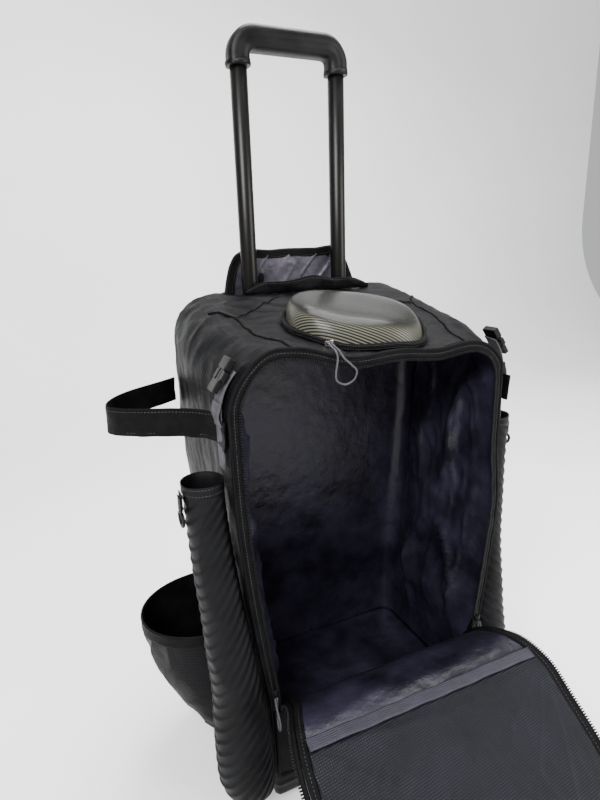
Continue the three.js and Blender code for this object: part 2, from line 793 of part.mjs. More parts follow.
// A rounded outline on the top panel, as a ring of points above the cloth
const shellSides = 22;
const shellPower = 0.8; // below 1 the outline is squarer than an ellipse
const shellSkew = -0.26; // its long side's turn seen from above: the left end is further back
const shellFall = 0.22; // how much lower its right end is, as a share of the height
function shellPoint(share, turn, lift, fall = 0) {
  const bend = (value) => Math.sign(value) * Math.abs(value) ** shellPower;
  const along = ((shellWidth * share) / 2) * bend(Math.cos(turn));
  const across = ((shellDepth * share) / 2) * bend(Math.sin(turn));
  const x = shellMiddleX + along * Math.cos(shellSkew) - across * Math.sin(shellSkew);
  const y = shellMiddleY + along * Math.sin(shellSkew) + across * Math.cos(shellSkew);
  const lower = 1 - (fall * 2 * along) / shellWidth;
  return vec(x, y, topHeight(x, y) + clothGap + lift * lower);
}

const shellRing = (share, lift, fall = 0) =>
  shares(shellSides - 1).map((_, k) => shellPoint(share, (2 * Math.PI * k) / shellSides, lift, fall));

// The moulded dome's profile: share of its outline against share of its height
const shellTable = [
  { at: 0, share: 1 },
  { at: 0.45, share: 0.97 },
  { at: 0.75, share: 0.9 },
  { at: 0.92, share: 0.76 },
  { at: 1, share: 0.45 },
];

function shellPocket() {
  const outer = shellTable.map((row) => shellRing(row.share, shellHeight * row.at, shellFall));
  const thin = (2 * shellWall) / shellWidth;
  const inner = shellTable.map((row) => shellRing(row.share - thin, (shellHeight - shellWall) * row.at, shellFall));
  return loft([...inner.reverse(), ...outer]);
}

const shellZipInner = 1 + (2 * seamGap) / shellDepth;
const shellZipOuter = shellZipInner + (2 * shellZipWidth) / shellDepth;
function shellZip() {
  const corners = [
    [shellZipOuter, 0],
    [shellZipOuter, shellZipHeight],
    [shellZipInner, shellZipHeight],
    [shellZipInner, 0],
  ];
  const rows = corners.map(([share, lift]) => shellRing(share, lift));
  const faces = [];
  const numbers = rows.map((row, r) => row.map((_, c) => r * shellSides + c));
  numbers.forEach((row, r) => bridge(faces, row, numbers[(r + 1) % numbers.length], true));
  return closedGeometry(rows.flat(), faces);
}

addPiece("shell_pocket", shellPocket(), carbonLook);
addPiece("shell_zip", shellZip(), nylon);

// Cover of the handle compartment: half width by share of its height, narrowing to rounded upper corners
const hoodTable = [
  { at: 0, half: 1 },
  { at: 0.4, half: 0.935 },
  { at: 0.75, half: 0.85 },
  { at: 0.92, half: 0.76 },
  { at: 1, half: 0.6 },
];

// The cloth inside its binding, by share of the cloth's own height
const hoodClothTable = [
  { at: 0, half: 0.868 },
  { at: 0.5, half: 0.8 },
  { at: 0.85, half: 0.7 },
  { at: 1, half: 0.55 },
];

const hoodY = liningBackY - seamGap + mouthDepth + clothWall;
function hoodPoint(x, up, lift) {
  const wing = Math.max(Math.abs(x) - hoodStraight, 0) / (hoodHalfWidth - hoodStraight);
  return vec(x, hoodY - hoodWing * wing ** 2 - lift, mix(hoodFoot, hoodTop, up));
}

function hood() {
  const top = 1 - (hoodBindingWidth + clothGap) / (hoodTop - hoodFoot);
  const grid = (lift) =>
    hoodClothTable.map((row) =>
      shares(8).map((share) => hoodPoint(mix(-1, 1, share) * hoodHalfWidth * row.half, row.at * top, lift)),
    );
  return wallSolid(grid(0), grid(hoodThickness));
}

function hoodBinding() {
  const middle = hoodThickness / 2;
  const half = hoodBindingWidth / 2;
  const rise = half / (hoodTop - hoodFoot);
  const edge = (up) => hoodHalfWidth * fromTable(hoodTable, "half", up) - half;
  const up = [0.01, 0.25, 0.5, 0.7, 0.83].map((share) => hoodPoint(-edge(share), share, middle));
  const top = shares(4).map((share) => hoodPoint(mix(-0.78, 0.78, share) * edge(1 - rise), 1 - rise, middle));
  const path = [...up, ...top, ...up.map((point) => vec(-point.x, point.y, point.z)).reverse()];
  const inward = (heading) => vec(0, 1, 0).cross(heading).normalize();
  return strap(path, inward, hoodBindingWidth, hoodBindingThickness);
}

// Height of the lip by share of its length: it falls away towards both ends
const lipTable = [
  { at: 0, height: 0.3 },
  { at: 0.1, height: 0.8 },
  { at: 0.3, height: 1 },
  { at: 0.65, height: 1 },
  { at: 0.88, height: 0.75 },
  { at: 1, height: 0.3 },
];

function handleLip() {
  const rows = [{ up: 0, lean: 0, thick: 1 }, { up: 0.5, lean: 0.15, thick: 1 }, { up: 1, lean: 0.5, thick: 0.6 }];
  const grid = (face) =>
    rows.map((row) =>
      shares(10).map((share) => {
        const x = lipMiddleX + mix(-lipLength / 2, lipLength / 2, share);
        const thick = lipThickness * row.thick;
        const y = liningBackY - lipThickness - row.lean * lipThickness - (face * thick) / 2;
        const base = topHeight(x, y) + seamGap;
        return vec(x, y, base + lipHeight * row.up * fromTable(lipTable, "height", share));
      }),
    );
  return wallSolid(grid(1), grid(-1));
}

addPiece("hood", hood(), nylon);
addPiece("hood_binding", hoodBinding(), nylon);
addPiece("handle_lip", handleLip(), nylon);

// Pull handle: a bent grip on two tubes that slide in two outer tubes
const tubeX = handleSpacing / 2;
const outerBore = tubeDiameter / 2 + slideClearance;
const outerTubeRadius = outerBore + outerTubeWall;

function grip() {
  const barZ = gripTop - gripDiameter / 2;
  const at = (side, x, z) => vec(side * x, handleY, z);
  const collar = (side) => new THREE.LineCurve3(at(side, tubeX, collarFoot), at(side, tubeX, barZ - gripCorner));
  const bend = (side) =>
    new THREE.QuadraticBezierCurve3(
      at(side, tubeX, barZ - gripCorner),
      at(side, tubeX, barZ),
      at(side, tubeX - gripCorner, barZ),
    );
  const turnRound = (curve) => {
    const order = curve instanceof THREE.LineCurve3 ? [curve.v2, curve.v1] : [curve.v2, curve.v1, curve.v0];
    return new curve.constructor(...order);
  };
  const path = new THREE.CurvePath();
  path.curves.push(collar(-1), bend(-1));
  path.curves.push(new THREE.LineCurve3(at(-1, tubeX - gripCorner, barZ), at(1, tubeX - gripCorner, barZ)));
  path.curves.push(turnRound(bend(1)), turnRound(collar(1)));
  return alongCurve(circleShape(gripDiameter / 2, 10), path, 18);
}

function tube(side, radius, wall, low, high) {
  const section = circleShape(radius, 16);
  section.holes.push(circleShape(radius - wall, 16));
  const solid = new THREE.ExtrudeGeometry(section, { depth: high - low, bevelEnabled: false });
  return solid.translate(side * tubeX, handleY, low);
}

function handlePlate() {
  const low = vec(-plateHalfLength, liningBackY + rimGap, plateHeight - plateThickness);
  const high = vec(plateHalfLength, backY - clothWall - 2 * clothGap, plateHeight);
  const hole = (side) =>
    roundBar(outerTubeRadius + rimGap, 3 * plateThickness, vec(0, 0, 1), vec(side * tubeX, handleY, plateHeight), 16);
  return cut(block(low, high), hole(-1), hole(1));
}

addPiece("grip", grip(), plastic, handle);
addPair(
  "handle_tube",
  (side) => tube(side, tubeDiameter / 2, tubeWall, tubeFootHeight, collarFoot - rimGap),
  blackTube,
  handle,
);
const outerTubeFoot = trayFoot + trayWall + rimGap;
const outerTubeTop = plateHeight + plateThickness;
addPair("outer_tube", (side) => tube(side, outerTubeRadius, outerTubeWall, outerTubeFoot, outerTubeTop), blackTube);
addPiece("handle_plate", handlePlate(), plastic);

// Base tray: a moulded tub under the cloth, open at the top, cut round the wheel housings
function trayOutline(inset) {
  const half = sideX(frontY, panelFoot) + trayOverhang - inset;
  const front = frontY - trayOverhang + inset;
  const back = backY + trayOverhang - inset;
  const rear = backCornerRadius + trayOverhang - inset;
  const nose = Math.max(trayFrontCorner - inset, 1);
  const outline = new THREE.Shape();
  outline.moveTo(-half, front + nose);
  outline.lineTo(-half, back - rear);
  outline.quadraticCurveTo(-half, back, -half + rear, back);
  outline.lineTo(half - rear, back);
  outline.quadraticCurveTo(half, back, half, back - rear);
  outline.lineTo(half, front + nose);
  outline.quadraticCurveTo(half, front, half - nose, front);
  outline.lineTo(-half + nose, front);
  outline.quadraticCurveTo(-half, front, -half, front + nose);
  return outline;
}

function baseTray() {
  const extrude = (inset, low, high) => {
    const settings = { depth: high - low, bevelEnabled: false, curveSegments: 5 };
    return new THREE.ExtrudeGeometry(trayOutline(inset), settings).translate(0, 0, low);
  };
  const rim = panelFoot - rimGap;
  const rooms = [-1, 1].map((side) => housingRoom(side, rimGap));
  return cut(extrude(0, trayFoot, rim), extrude(trayWall, trayFoot + trayWall, rim + trayWall), ...rooms);
}

const sideways = vec(1, 0, 0);
const axleMiddle = (side) => vec((side * wheelSpacing) / 2, wheelY, wheelRadius);
const housingWidth = wheelWidth + 2 * (wheelSideRoom + housingWall);

function wheelHousing(side) {
  const middle = axleMiddle(side);
  const roomRadius = wheelRadius + wheelRoom;
  const room = roundBar(roomRadius, wheelWidth + 2 * wheelSideRoom, sideways, middle, 28);
  const far = 2 * wheelDiameter;
  const behind = block(vec(middle.x - far, backY + 2 * trayWall, -far), vec(middle.x + far, backY + far, far));
  const below = block(vec(middle.x - far, backY - far, -far), vec(middle.x + far, backY + far, trayFoot));
  const bore = roundBar(axleDiameter / 2 + rimGap, 2 * housingWidth, sideways, middle, 12);
  return cut(housingRoom(side, 0), room, behind, below, bore);
}

const axle = (side) => roundBar(axleDiameter / 2, housingWidth, sideways, axleMiddle(side), 12);

// A turned ring about the axle, from a profile of radius and place across the wheel
function turned(side, profile, segments) {
  const points = [...profile, profile[0]].map(([radius, across]) => new THREE.Vector2(radius, across));
  const ring = new THREE.LatheGeometry(points, segments);
  ring.rotateZ(Math.PI / 2);
  const middle = axleMiddle(side);
  return ring.translate(middle.x, middle.y, middle.z);
}

const wheelSegments = 16;
function tyre(side) {
  const half = wheelWidth / 2;
  const seat = hubDiameter / 2 + rimGap;
  const profile = [
    [seat, -half],
    [wheelRadius - 5, -half],
    [wheelRadius, -half * 0.5],
    [wheelRadius, half * 0.5],
    [wheelRadius - 5, half],
    [seat, half],
  ];
  return turned(side, profile, wheelSegments);
}

function hub(side) {
  const half = wheelWidth / 2;
  const bore = axleDiameter / 2 + axleClearance;
  const edge = hubDiameter / 2;
  const profile = [
    [bore, -half],
    [edge - 4, -half * 0.6],
    [edge, -half * 0.85],
    [edge, half * 0.85],
    [edge - 4, half * 0.6],
    [bore, half],
  ];
  return turned(side, profile, wheelSegments);
}

function frontFoot() {
  return block(vec(-footLength / 2, -footDepth / 2, 0), vec(footLength / 2, footDepth / 2, trayFoot - rimGap));
}

addPiece("base_tray", baseTray(), plastic);
addPair("wheel_housing", wheelHousing, plastic);
addPair("wheel_axle", axle, nickel);
addPair("tyre", tyre, rubber);
addPair("hub", hub, plastic);
addPiece("front_foot", frontFoot(), rubber);

// Back pad: a stuffed panel on the back, and the two straps to carry the bag
function backPad() {
  const ring = (inset, y) => {
    const halfX = padHalfWidth - inset;
    const halfZ = (padTop - padFoot) / 2 - inset;
    return Array.from({ length: 4 * padCornerPoints }, (_, k) => {
      const turn = (Math.PI / 2) * ((k % padCornerPoints) / (padCornerPoints - 1));
      const quarter = Math.floor(k / padCornerPoints);
      const [cx, cz] = [[1, 1], [-1, 1], [-1, -1], [1, -1]][quarter];
      const angle = turn + (quarter * Math.PI) / 2;
      const x = cx * (halfX - padCorner) + padCorner * Math.cos(angle);
      const z = cz * (halfZ - padCorner) + padCorner * Math.sin(angle);
      return vec(x, y, (padTop + padFoot) / 2 + z);
    });
  };
  const start = backY + seamGap;
  const widest = start + padThickness * 0.4;
  return loft([ring(padEdge * 0.6, start), ring(0, widest), ring(padEdge, start + padThickness)]);
}

// Where a shoulder strap runs: share of its bow and of its spread to the side
const shoulderTable = [
  { at: 0, bow: 0, spread: 0 },
  { at: 0.12, bow: 0.62, spread: 0.02 },
  { at: 0.3, bow: 1, spread: 0.15 },
  { at: 0.6, bow: 0.95, spread: 0.55 },
  { at: 0.85, bow: 0.6, spread: 0.88 },
  { at: 1, bow: 0.42, spread: 1 },
];

function shoulderPath(side) {
  const start = backY + seamGap + shoulderStrapThickness / 2;
  return shares(10).map((share) => {
    const x = mix(shoulderStrapInner, shoulderStrapOuter, fromTable(shoulderTable, "spread", share));
    const y = start + shoulderStrapBow * fromTable(shoulderTable, "bow", share);
    return vec(side * x, y, mix(shoulderStrapTop, shoulderStrapFoot, share));
  });
}

const levelAcross = (heading) => vec(1, 0, 0).addScaledVector(heading, -heading.x).normalize();

function shoulderStrap(side) {
  return strap(shoulderPath(side), levelAcross, shoulderStrapWidth, shoulderStrapThickness, paddedSection);
}

function strapWebbing(side) {
  const start = shoulderPath(side).at(-1).add(vec(0, 0, -shoulderStrapThickness / 2));
  const overPad = backY + seamGap + padThickness + strapLift + clothGap;
  const onBack = backY + strapLift;
  const x = (share) => side * mix(shoulderStrapOuter, shoulderStrapOuter + webbingWidth / 3, share);
  const path = [
    start,
    vec(x(0.3), mix(start.y, overPad, 0.7), mix(start.z, padFoot, 0.5)),
    vec(x(0.7), overPad, padFoot + padThickness / 2),
    vec(x(0.9), mix(overPad, onBack, 0.5), padFoot - webbingTail * 0.22),
    vec(x(1), onBack, padFoot - webbingTail / 2),
    vec(x(1), onBack, padFoot - webbingTail),
  ];
  return strap(path, levelAcross, webbingWidth, strapThickness);
}

addPiece("back_pad", backPad(), nylon);
addPair("shoulder_strap", shoulderStrap, nylon);
addPair("strap_webbing", strapWebbing, webbing);

// Zip sliders, each with a loop of thin cord to pull it by
function slider(middle, height, turn) {
  const box = new THREE.BoxGeometry(sliderWidth, sliderThickness, height);
  return box.rotateZ(turn).translate(middle.x, middle.y, middle.z);
}

const openingSlider = (side) => {
  const z = hingeHeight + 3 * sliderLength;
  const x = sideX(frontY, z) - zipTapeWidth / 2;
  return vec(side * x, frontY - seamGap - 2 * zipTapeThickness - rimGap - sliderThickness / 2, z);
};

// The shell's slider stands against the outside of the zip, at the front left
const shellSliderTurn = 1.36 * Math.PI;
const shellSliderFacing = shellSliderTurn + shellSkew;
const shellSlider = (() => {
  const onZip = shellPoint(shellZipOuter, shellSliderTurn, shellZipHeight / 2);
  const outward = vec(Math.cos(shellSliderFacing), Math.sin(shellSliderFacing), 0);
  return onZip.addScaledVector(outward, sliderThickness / 2 + clothGap);
})();

// The loops' routes: chosen points, in millimetres from the slider
const openingPullRoute = [
  [-1.4, -3.5, -3], [-1.3, -3.7, -12], [-0.6, -3.5, -30], [-0.3, -5, -42], [0, -10, -49],
  [0.3, -16, -42], [0.6, -15.5, -30], [1.4, -8, -15], [1.4, -3.5, -3],
];
const shellPullRoute = [
  [-3.8, -1.4, 1], [-5.5, -10, 0], [-6, -20, -2.5], [-6.2, -29, -5.5], [-7, -35, -12], [-8.5, -36.5, -20],
  [-10.5, -37, -29], [-10, -37, -38], [1, -37, -45], [15, -37, -39], [17.5, -37, -31], [10, -36.8, -22],
  [1, -35.5, -13], [-2, -29.5, -5], [-2.2, -20, -2.3], [-1.2, -11, 0], [-0.75, -4, 1],
];

function pullLoop(middle, route, side = 1) {
  const curve = new THREE.CatmullRomCurve3(route.map(([x, y, z]) => vec(side * x, y, z).add(middle)));
  return alongCurve(circleShape(pullDiameter / 2, 8), curve, 12);
}

addPair("zip_slider", (side) => slider(openingSlider(side), sliderLength, 0), plastic);
addPair("zip_pull", (side) => pullLoop(openingSlider(side), openingPullRoute, side), webbing);
addPiece("shell_slider", slider(shellSlider, shellZipHeight, shellSliderFacing - Math.PI / 2), nickel);
addPiece("shell_pull", pullLoop(shellSlider, shellPullRoute), webbing);

export default bag;
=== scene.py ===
# %% [markdown]
# # A wheeled catcher's bag, standing open
#
# The bag is black ripstop nylon sewn over a tray with wheels. Its front is unzipped and
# hangs forward. The frame holds the measured solids, and this script dresses them: every
# cloth, cord and moulded piece is worked out with numpy on the same sizes as the solids.
# All sizes below are millimetres, and become metres when a mesh is made.

import bmesh
import bpy
import numpy as np
from mathutils import Matrix


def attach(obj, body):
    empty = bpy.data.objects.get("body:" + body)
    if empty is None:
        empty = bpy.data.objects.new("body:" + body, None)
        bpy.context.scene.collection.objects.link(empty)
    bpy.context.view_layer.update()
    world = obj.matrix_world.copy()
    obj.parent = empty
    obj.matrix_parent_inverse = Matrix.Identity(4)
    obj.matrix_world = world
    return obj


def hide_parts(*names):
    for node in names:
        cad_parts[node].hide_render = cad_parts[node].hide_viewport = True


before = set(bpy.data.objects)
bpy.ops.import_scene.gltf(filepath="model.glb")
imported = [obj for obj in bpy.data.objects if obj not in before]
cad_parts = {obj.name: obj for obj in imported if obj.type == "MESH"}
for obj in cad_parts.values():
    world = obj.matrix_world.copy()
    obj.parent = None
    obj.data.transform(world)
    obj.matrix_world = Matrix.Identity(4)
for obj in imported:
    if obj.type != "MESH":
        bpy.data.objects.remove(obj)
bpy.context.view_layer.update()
MM = 0.001

# %% [markdown]
# ## The camera
#
# The photograph was taken close up with a wide lens, from the left and above. A camera
# could be placed by eye, but this one was solved from straight edges of the bag, so its
# turn, tilt and lens are numbers. Its matrix is put together from three unit vectors.

# %% Camera at the photograph's angle
CAMERA_PLACE = np.array([-374.1, -605.4, 772.7])
TURN, TILT, ROLL = np.radians([24.07, 15.57, -1.9])
FOCAL_PIXELS = 557.2
PHOTO_HEIGHT = 800
SENSOR = 36.0

level_ahead = np.array([np.sin(TURN), np.cos(TURN), 0.0])
level_right = np.array([np.cos(TURN), -np.sin(TURN), 0.0])
straight_up = np.array([0.0, 0.0, 1.0])
ahead = np.cos(TILT) * level_ahead - np.sin(TILT) * straight_up
above = np.sin(TILT) * level_ahead + np.cos(TILT) * straight_up
right = np.cos(ROLL) * level_right + np.sin(ROLL) * above
above = np.cos(ROLL) * above - np.sin(ROLL) * level_right

camera_data = bpy.data.cameras.new("camera")
camera_data.sensor_width = SENSOR
camera_data.lens = FOCAL_PIXELS / PHOTO_HEIGHT * SENSOR
camera_data.clip_start = 0.01
camera = bpy.data.objects.new("camera", camera_data)
bpy.context.collection.objects.link(camera)
placed = np.eye(4)
placed[:3, 0], placed[:3, 1], placed[:3, 2] = right, above, -ahead
placed[:3, 3] = CAMERA_PLACE * MM
camera.matrix_world = Matrix(placed.tolist())
bpy.context.scene.camera = camera
print("lens", round(camera_data.lens, 2), "mm")

# %% [markdown]
# ## Making a surface
#
# Almost every piece is a sheet or a tube, so it can be written as a grid of points: rows
# one way, columns the other. One function turns such a grid into a mesh, gives it a UV map
# measured in metres along the cloth, so that a weave keeps its real size, and turns its
# faces outwards. Blender's own primitives would need as much bending again afterwards.

# %% Grid of points to mesh


def surface(name, grid, ring=False, loop=False, keep=None, middle=None, toward=None):
    """A mesh from rows x columns of points in millimetres.

    ring joins the last column to the first, and loop the last row to the first. keep is a
    mask of cells. Faces are turned away from middle, or towards a direction. The UV of a
    corner is its mean distance along its row and along its column, in metres.
    """
    grid = np.asarray(grid, float)
    rows, columns = grid.shape[:2]
    r, c = np.meshgrid(
        np.arange(rows - (not loop)), np.arange(columns - (not ring)), indexing="ij"
    )
    corner_r = np.stack([r, r, r + 1, r + 1], -1).reshape(-1, 4)
    corner_c = np.stack([c, c + 1, c + 1, c], -1).reshape(-1, 4)
    if keep is not None:
        chosen = np.asarray(keep)[: r.shape[0], : r.shape[1]].ravel()
        corner_r, corner_c = corner_r[chosen], corner_c[chosen]
    quads = (corner_r % rows) * columns + corner_c % columns
    across = np.linalg.norm(np.roll(grid, -1, 1) - grid, axis=2).mean(0)
    down = np.linalg.norm(np.roll(grid, -1, 0) - grid, axis=2).mean(1)
    u = np.concatenate([[0], np.cumsum(across)])
    v = np.concatenate([[0], np.cumsum(down)])
    uv = np.stack([u[corner_c], v[corner_r]], -1) * MM
    points = grid.reshape(-1, 3)
    corners = points[quads]
    normal = np.cross(corners[:, 2] - corners[:, 0], corners[:, 3] - corners[:, 1])
    if toward is not None:
        outward = (normal @ np.asarray(toward, float)).sum()
    else:
        centre = points.mean(0) if middle is None else np.asarray(middle, float)
        outward = ((corners.mean(1) - centre) * normal).sum()
    if outward < 0:
        quads, uv = quads[:, ::-1], uv[:, ::-1]
    return mesh_object(name, points, quads, uv)


def mesh_object(name, points, quads, uv=None):
    """An object from points in millimetres and faces of four corners, smooth shaded."""
    quads = np.ascontiguousarray(quads)
    mesh = bpy.data.meshes.new(name)
    mesh.vertices.add(len(points))
    mesh.vertices.foreach_set("co", (np.asarray(points) * MM).ravel())
    mesh.loops.add(quads.size)
    mesh.loops.foreach_set("vertex_index", quads.ravel())
    mesh.polygons.add(len(quads))
    mesh.polygons.foreach_set("loop_start", np.arange(len(quads)) * 4)
    mesh.polygons.foreach_set("use_smooth", np.ones(len(quads), bool))
    if uv is not None:
        layer = mesh.uv_layers.new(name="cloth")
        layer.data.foreach_set("uv", np.ascontiguousarray(uv).ravel())
    mesh.update(calc_edges=True)
    used = bmesh.new()
    used.from_mesh(mesh)
    bmesh.ops.delete(used, geom=[v for v in used.verts if not v.link_faces], context="VERTS")
    bmesh.ops.remove_doubles(used, verts=used.verts, dist=1e-6)
    bmesh.ops.dissolve_degenerate(used, edges=used.edges, dist=1e-7)
    used.to_mesh(mesh)
    used.free()
    mesh.polygons.foreach_set("use_smooth", np.ones(len(mesh.polygons), bool))
    made = bpy.data.objects.new(name, mesh)
    bpy.context.collection.objects.link(made)
    return made


def thicken(piece, thickness, inward=1.0):
    """Gives a sheet its wall: inward 1 puts it all behind the faces, 0 half on each side."""
    wall = piece.modifiers.new("wall", "SOLIDIFY")
    wall.thickness = thickness * MM
    wall.offset = -inward
    wall.use_rim = True
    return piece


def through(at, value, share):
    """A smooth curve through a table: a cubic between rows, whose slope at a row is the
    mean of the slopes on its two sides."""
    at, value = np.asarray(at, float), np.asarray(value, float)
    slope = np.gradient(value, at)
    share = np.clip(share, at[0], at[-1])
    k = np.clip(np.searchsorted(at, share, side="right") - 1, 0, len(at) - 2)
    width = at[k + 1] - at[k]
    t = (share - at[k]) / width
    return (
        (1 + 2 * t) * (1 - t) ** 2 * value[k]
        + t * (1 - t) ** 2 * width * slope[k]
        + t**2 * (3 - 2 * t) * value[k + 1]
        + t**2 * (t - 1) * width * slope[k + 1]
    )


def ease(value, low, high):
    """0 below low, 1 above high, and a smooth step between them."""
    t = np.clip((value - low) / (high - low), 0, 1)
    return t * t * (3 - 2 * t)


def waves(points, size, seed, stretch=(1, 1, 1)):
    """Smooth irregular waves of about 1 in height: twelve plane waves of random direction
    and phase, each about size millimetres long. stretch lengthens them along an axis."""
    rng = np.random.default_rng(seed)
    turns = rng.normal(size=(12, 3))
    turns /= np.linalg.norm(turns, axis=1)[:, None]
    turns *= 2 * np.pi / (size * rng.uniform(0.7, 1.5, (12, 1)))
    phase = rng.uniform(0, 2 * np.pi, 12)
    return np.sin((points / np.asarray(stretch, float)) @ turns.T + phase).sum(-1) / 3.2


def folds(points, size, seed, stretch=(1, 1, 1)):
    """Sharp-backed folds: one minus the size of the waves, so that each zero is a ridge."""
    return 1 - np.abs(waves(points, size, seed, stretch)) ** 0.8


def normals(grid):
    """Unit normal at each point of a grid, from the steps along its rows and columns."""
    cross = np.cross(np.gradient(grid, axis=1), np.gradient(grid, axis=0))
    return cross / np.maximum(np.linalg.norm(cross, axis=2, keepdims=True), 1e-9)


def smooth_path(points, count, closed=False):
    """Evenly spaced places on a smooth curve through the points, which are spread along
    their own chord length."""
    points = np.asarray(points, float)
    if closed:
        points = np.vstack([points, points[:1]])
    chord = np.concatenate([[0], np.cumsum(np.linalg.norm(np.diff(points, axis=0), axis=1))])
    fine = np.linspace(0, chord[-1], 40 * len(points))
    curve = np.stack([through(chord, points[:, k], fine) for k in range(3)], -1)
    length = np.concatenate([[0], np.cumsum(np.linalg.norm(np.diff(curve, axis=0), axis=1))])
    even = np.linspace(0, length[-1], count)
    return np.stack([np.interp(even, length, curve[:, k]) for k in range(3)], -1)


def path_length(path):
    return np.linalg.norm(np.diff(path, axis=0), axis=1).sum()


def sweep(path, section, across, closed=False):
    """Points of a profile carried along a path: each section point is pushed along the
    across direction by its first number, and along across x heading by its second."""
    path = np.asarray(path, float)
    if closed:
        heading = np.roll(path, -1, 0) - np.roll(path, 1, 0)
    else:
        heading = np.gradient(path, axis=0)
    heading /= np.linalg.norm(heading, axis=1)[:, None]
    across = np.broadcast_to(np.asarray(across, float), path.shape)
    side = across - (across * heading).sum(1)[:, None] * heading
    side /= np.linalg.norm(side, axis=1)[:, None]
    lift = np.cross(side, heading)
    section = np.broadcast_to(np.asarray(section, float), (len(path), *np.shape(section)[-2:]))
    return (
        path[:, None]
        + section[..., :1] * side[:, None]
        + section[..., 1:] * lift[:, None]
    )


def capped(rings):
    """A tube's rings with its two ends drawn together to points, so that it is closed."""
    first = np.broadcast_to(rings[0].mean(0), rings[0].shape)
    last = np.broadcast_to(rings[-1].mean(0), rings[-1].shape)
    return np.concatenate([[first], rings, [last]])


def circle(radius, sides):
    turn = 2 * np.pi * np.arange(sides) / sides
    return radius * np.stack([np.cos(turn), np.sin(turn)], -1)


def rounded_band(width, thickness, steps=3):
    """Outline of a flat strap with rounded edges, as (across, lift) points round it."""
    edge = np.linspace(-np.pi / 2, np.pi / 2, steps + 2)
    half = thickness / 2
    one = np.stack([width / 2 - half + half * np.cos(edge), half * np.sin(edge)], -1)
    flat = np.linspace(1, -1, 7)[1:-1, None] * np.array([width / 2 - half, 0])
    top = flat + [0, half]
    return np.concatenate([one, top, -one, -top])


def spaced(path, pitch, *fields):
    """Places every pitch millimetres along a path, the headings there, and any other
    directions that are given at the path's points."""
    path = np.asarray(path, float)
    run = np.concatenate([[0], np.cumsum(np.linalg.norm(np.diff(path, axis=0), axis=1))])
    at = np.arange(pitch / 2, run[-1], pitch)

    def pick(values):
        values = np.broadcast_to(np.asarray(values, float), path.shape)
        return np.stack([np.interp(at, run, values[:, k]) for k in range(3)], -1)

    return [pick(path), pick(np.gradient(path, axis=0)), *(pick(field) for field in fields)]


def bead(length, width, height, sides=6, rings=5, square=0.6):
    """Points and faces of a small rounded bar: its rings swell from one tip to the other."""
    angle = np.linspace(0, np.pi, rings)[:, None]
    turn = 2 * np.pi * np.arange(sides) / sides
    wide = np.sin(angle) ** square * np.ones(sides)
    points = np.stack(
        [
            -length / 2 * np.cos(angle) * np.ones(sides),
            width / 2 * wide * np.cos(turn),
            height / 2 * wide * np.sin(turn),
        ],
        -1,
    )
    r, c = np.meshgrid(np.arange(rings - 1), np.arange(sides), indexing="ij")
    ahead = (c + 1) % sides
    low, high = r * sides, (r + 1) * sides
    quads = np.stack([low + c, low + ahead, high + ahead, high + c], -1)
    return points.reshape(-1, 3), quads.reshape(-1, 4)[:, ::-1]


def copies(name, shape, places, along, up):
    """One mesh of many copies of a small shape, its length turned along and its top up."""
    points, quads = shape
    along = np.broadcast_to(np.asarray(along, float), places.shape)
    along = along / np.linalg.norm(along, axis=1)[:, None]
    up = np.broadcast_to(np.asarray(up, float), places.shape)
    side = np.cross(up, along)
    side = side / np.linalg.norm(side, axis=1)[:, None]
    up = np.cross(along, side)
    spread = (
        places[:, None]
        + points[None, :, :1] * along[:, None]
        + points[None, :, 1:2] * side[:, None]
        + points[None, :, 2:] * up[:, None]
    )
    numbers = quads[None] + (np.arange(len(places)) * len(points))[:, None, None]
    return mesh_object(name, spread.reshape(-1, 3), numbers.reshape(-1, 4))


def stitches(name, path, up, pitch=4.6, length=3.3, size=0.8, body="bag"):
    """A line of sewing: one small bead of thread for each stitch, half sunk in the cloth."""
    places, along, lifted = spaced(path, pitch, up)
    made = copies(name, bead(length, size, size * 0.9), places, along, lifted)
    return dress(made, thread, body=body)


def teeth(name, path, up, across=4.4, pitch=3.2, body="bag"):
    """Half a coil zip: one bead across the tape for each turn of the coil."""
    places, along, lifted = spaced(path, pitch, up)
    side = np.cross(lifted, along)
    made = copies(name, bead(across, pitch * 0.66, 2.2, 6, 6, 0.45), places, side, lifted)
    return dress(made, moulded, body=body)


def ribbon(name, path, across, width, thickness, material, *nodes, closed=False, body="bag"):
    """A strap, tape or binding: a flat band with rounded edges carried along a path."""
    rings = sweep(path, rounded_band(width, thickness), across, closed)
    made = surface(name, rings if closed else capped(rings), ring=True, loop=closed)
    return dress(made, material, *nodes, body=body)


def carried(path, first=(0.3, 0.2, 1.0)):
    """A direction square to a path, carried along it with as little turning as possible."""
    heading = np.gradient(np.asarray(path, float), axis=0)
    heading /= np.linalg.norm(heading, axis=1)[:, None]
    side, kept = np.asarray(first, float), []
    for ahead_now in heading:
        side = side - (side @ ahead_now) * ahead_now
        side = side / np.linalg.norm(side)
        kept.append(side)
    return np.array(kept)


def cord_tube(
    name, path, radius, material, *nodes, sides=12, closed=False, across=None, body="bag"
):
    """A round cord or piping along a path."""
    across = carried(path) if across is None else across
    rings = sweep(path, circle(radius, sides), across, closed)
    made = surface(name, rings if closed else capped(rings), ring=True, loop=closed)
    return dress(made, material, *nodes, body=body)


def dress(piece, material, *nodes, body="bag"):
    """Gives a piece its material, the body it moves with and the solids it stands for."""
    piece.data.materials.append(material)
    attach(piece, body)
    if nodes:
        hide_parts(*nodes)
    return piece


print("helpers ready")

# %% [markdown]
# ## Materials
#
# A finish is a small network on one Principled shader. One function adds a node with its
# settings and links, and another turns an sRGB hex colour to the linear values that the
# shader works in. Patterns are scaled from real sizes: thread spacing, rib pitch, tooth
# pitch. The cloth patterns read each piece's own UV map, which is in metres.

# %% Node and colour helpers


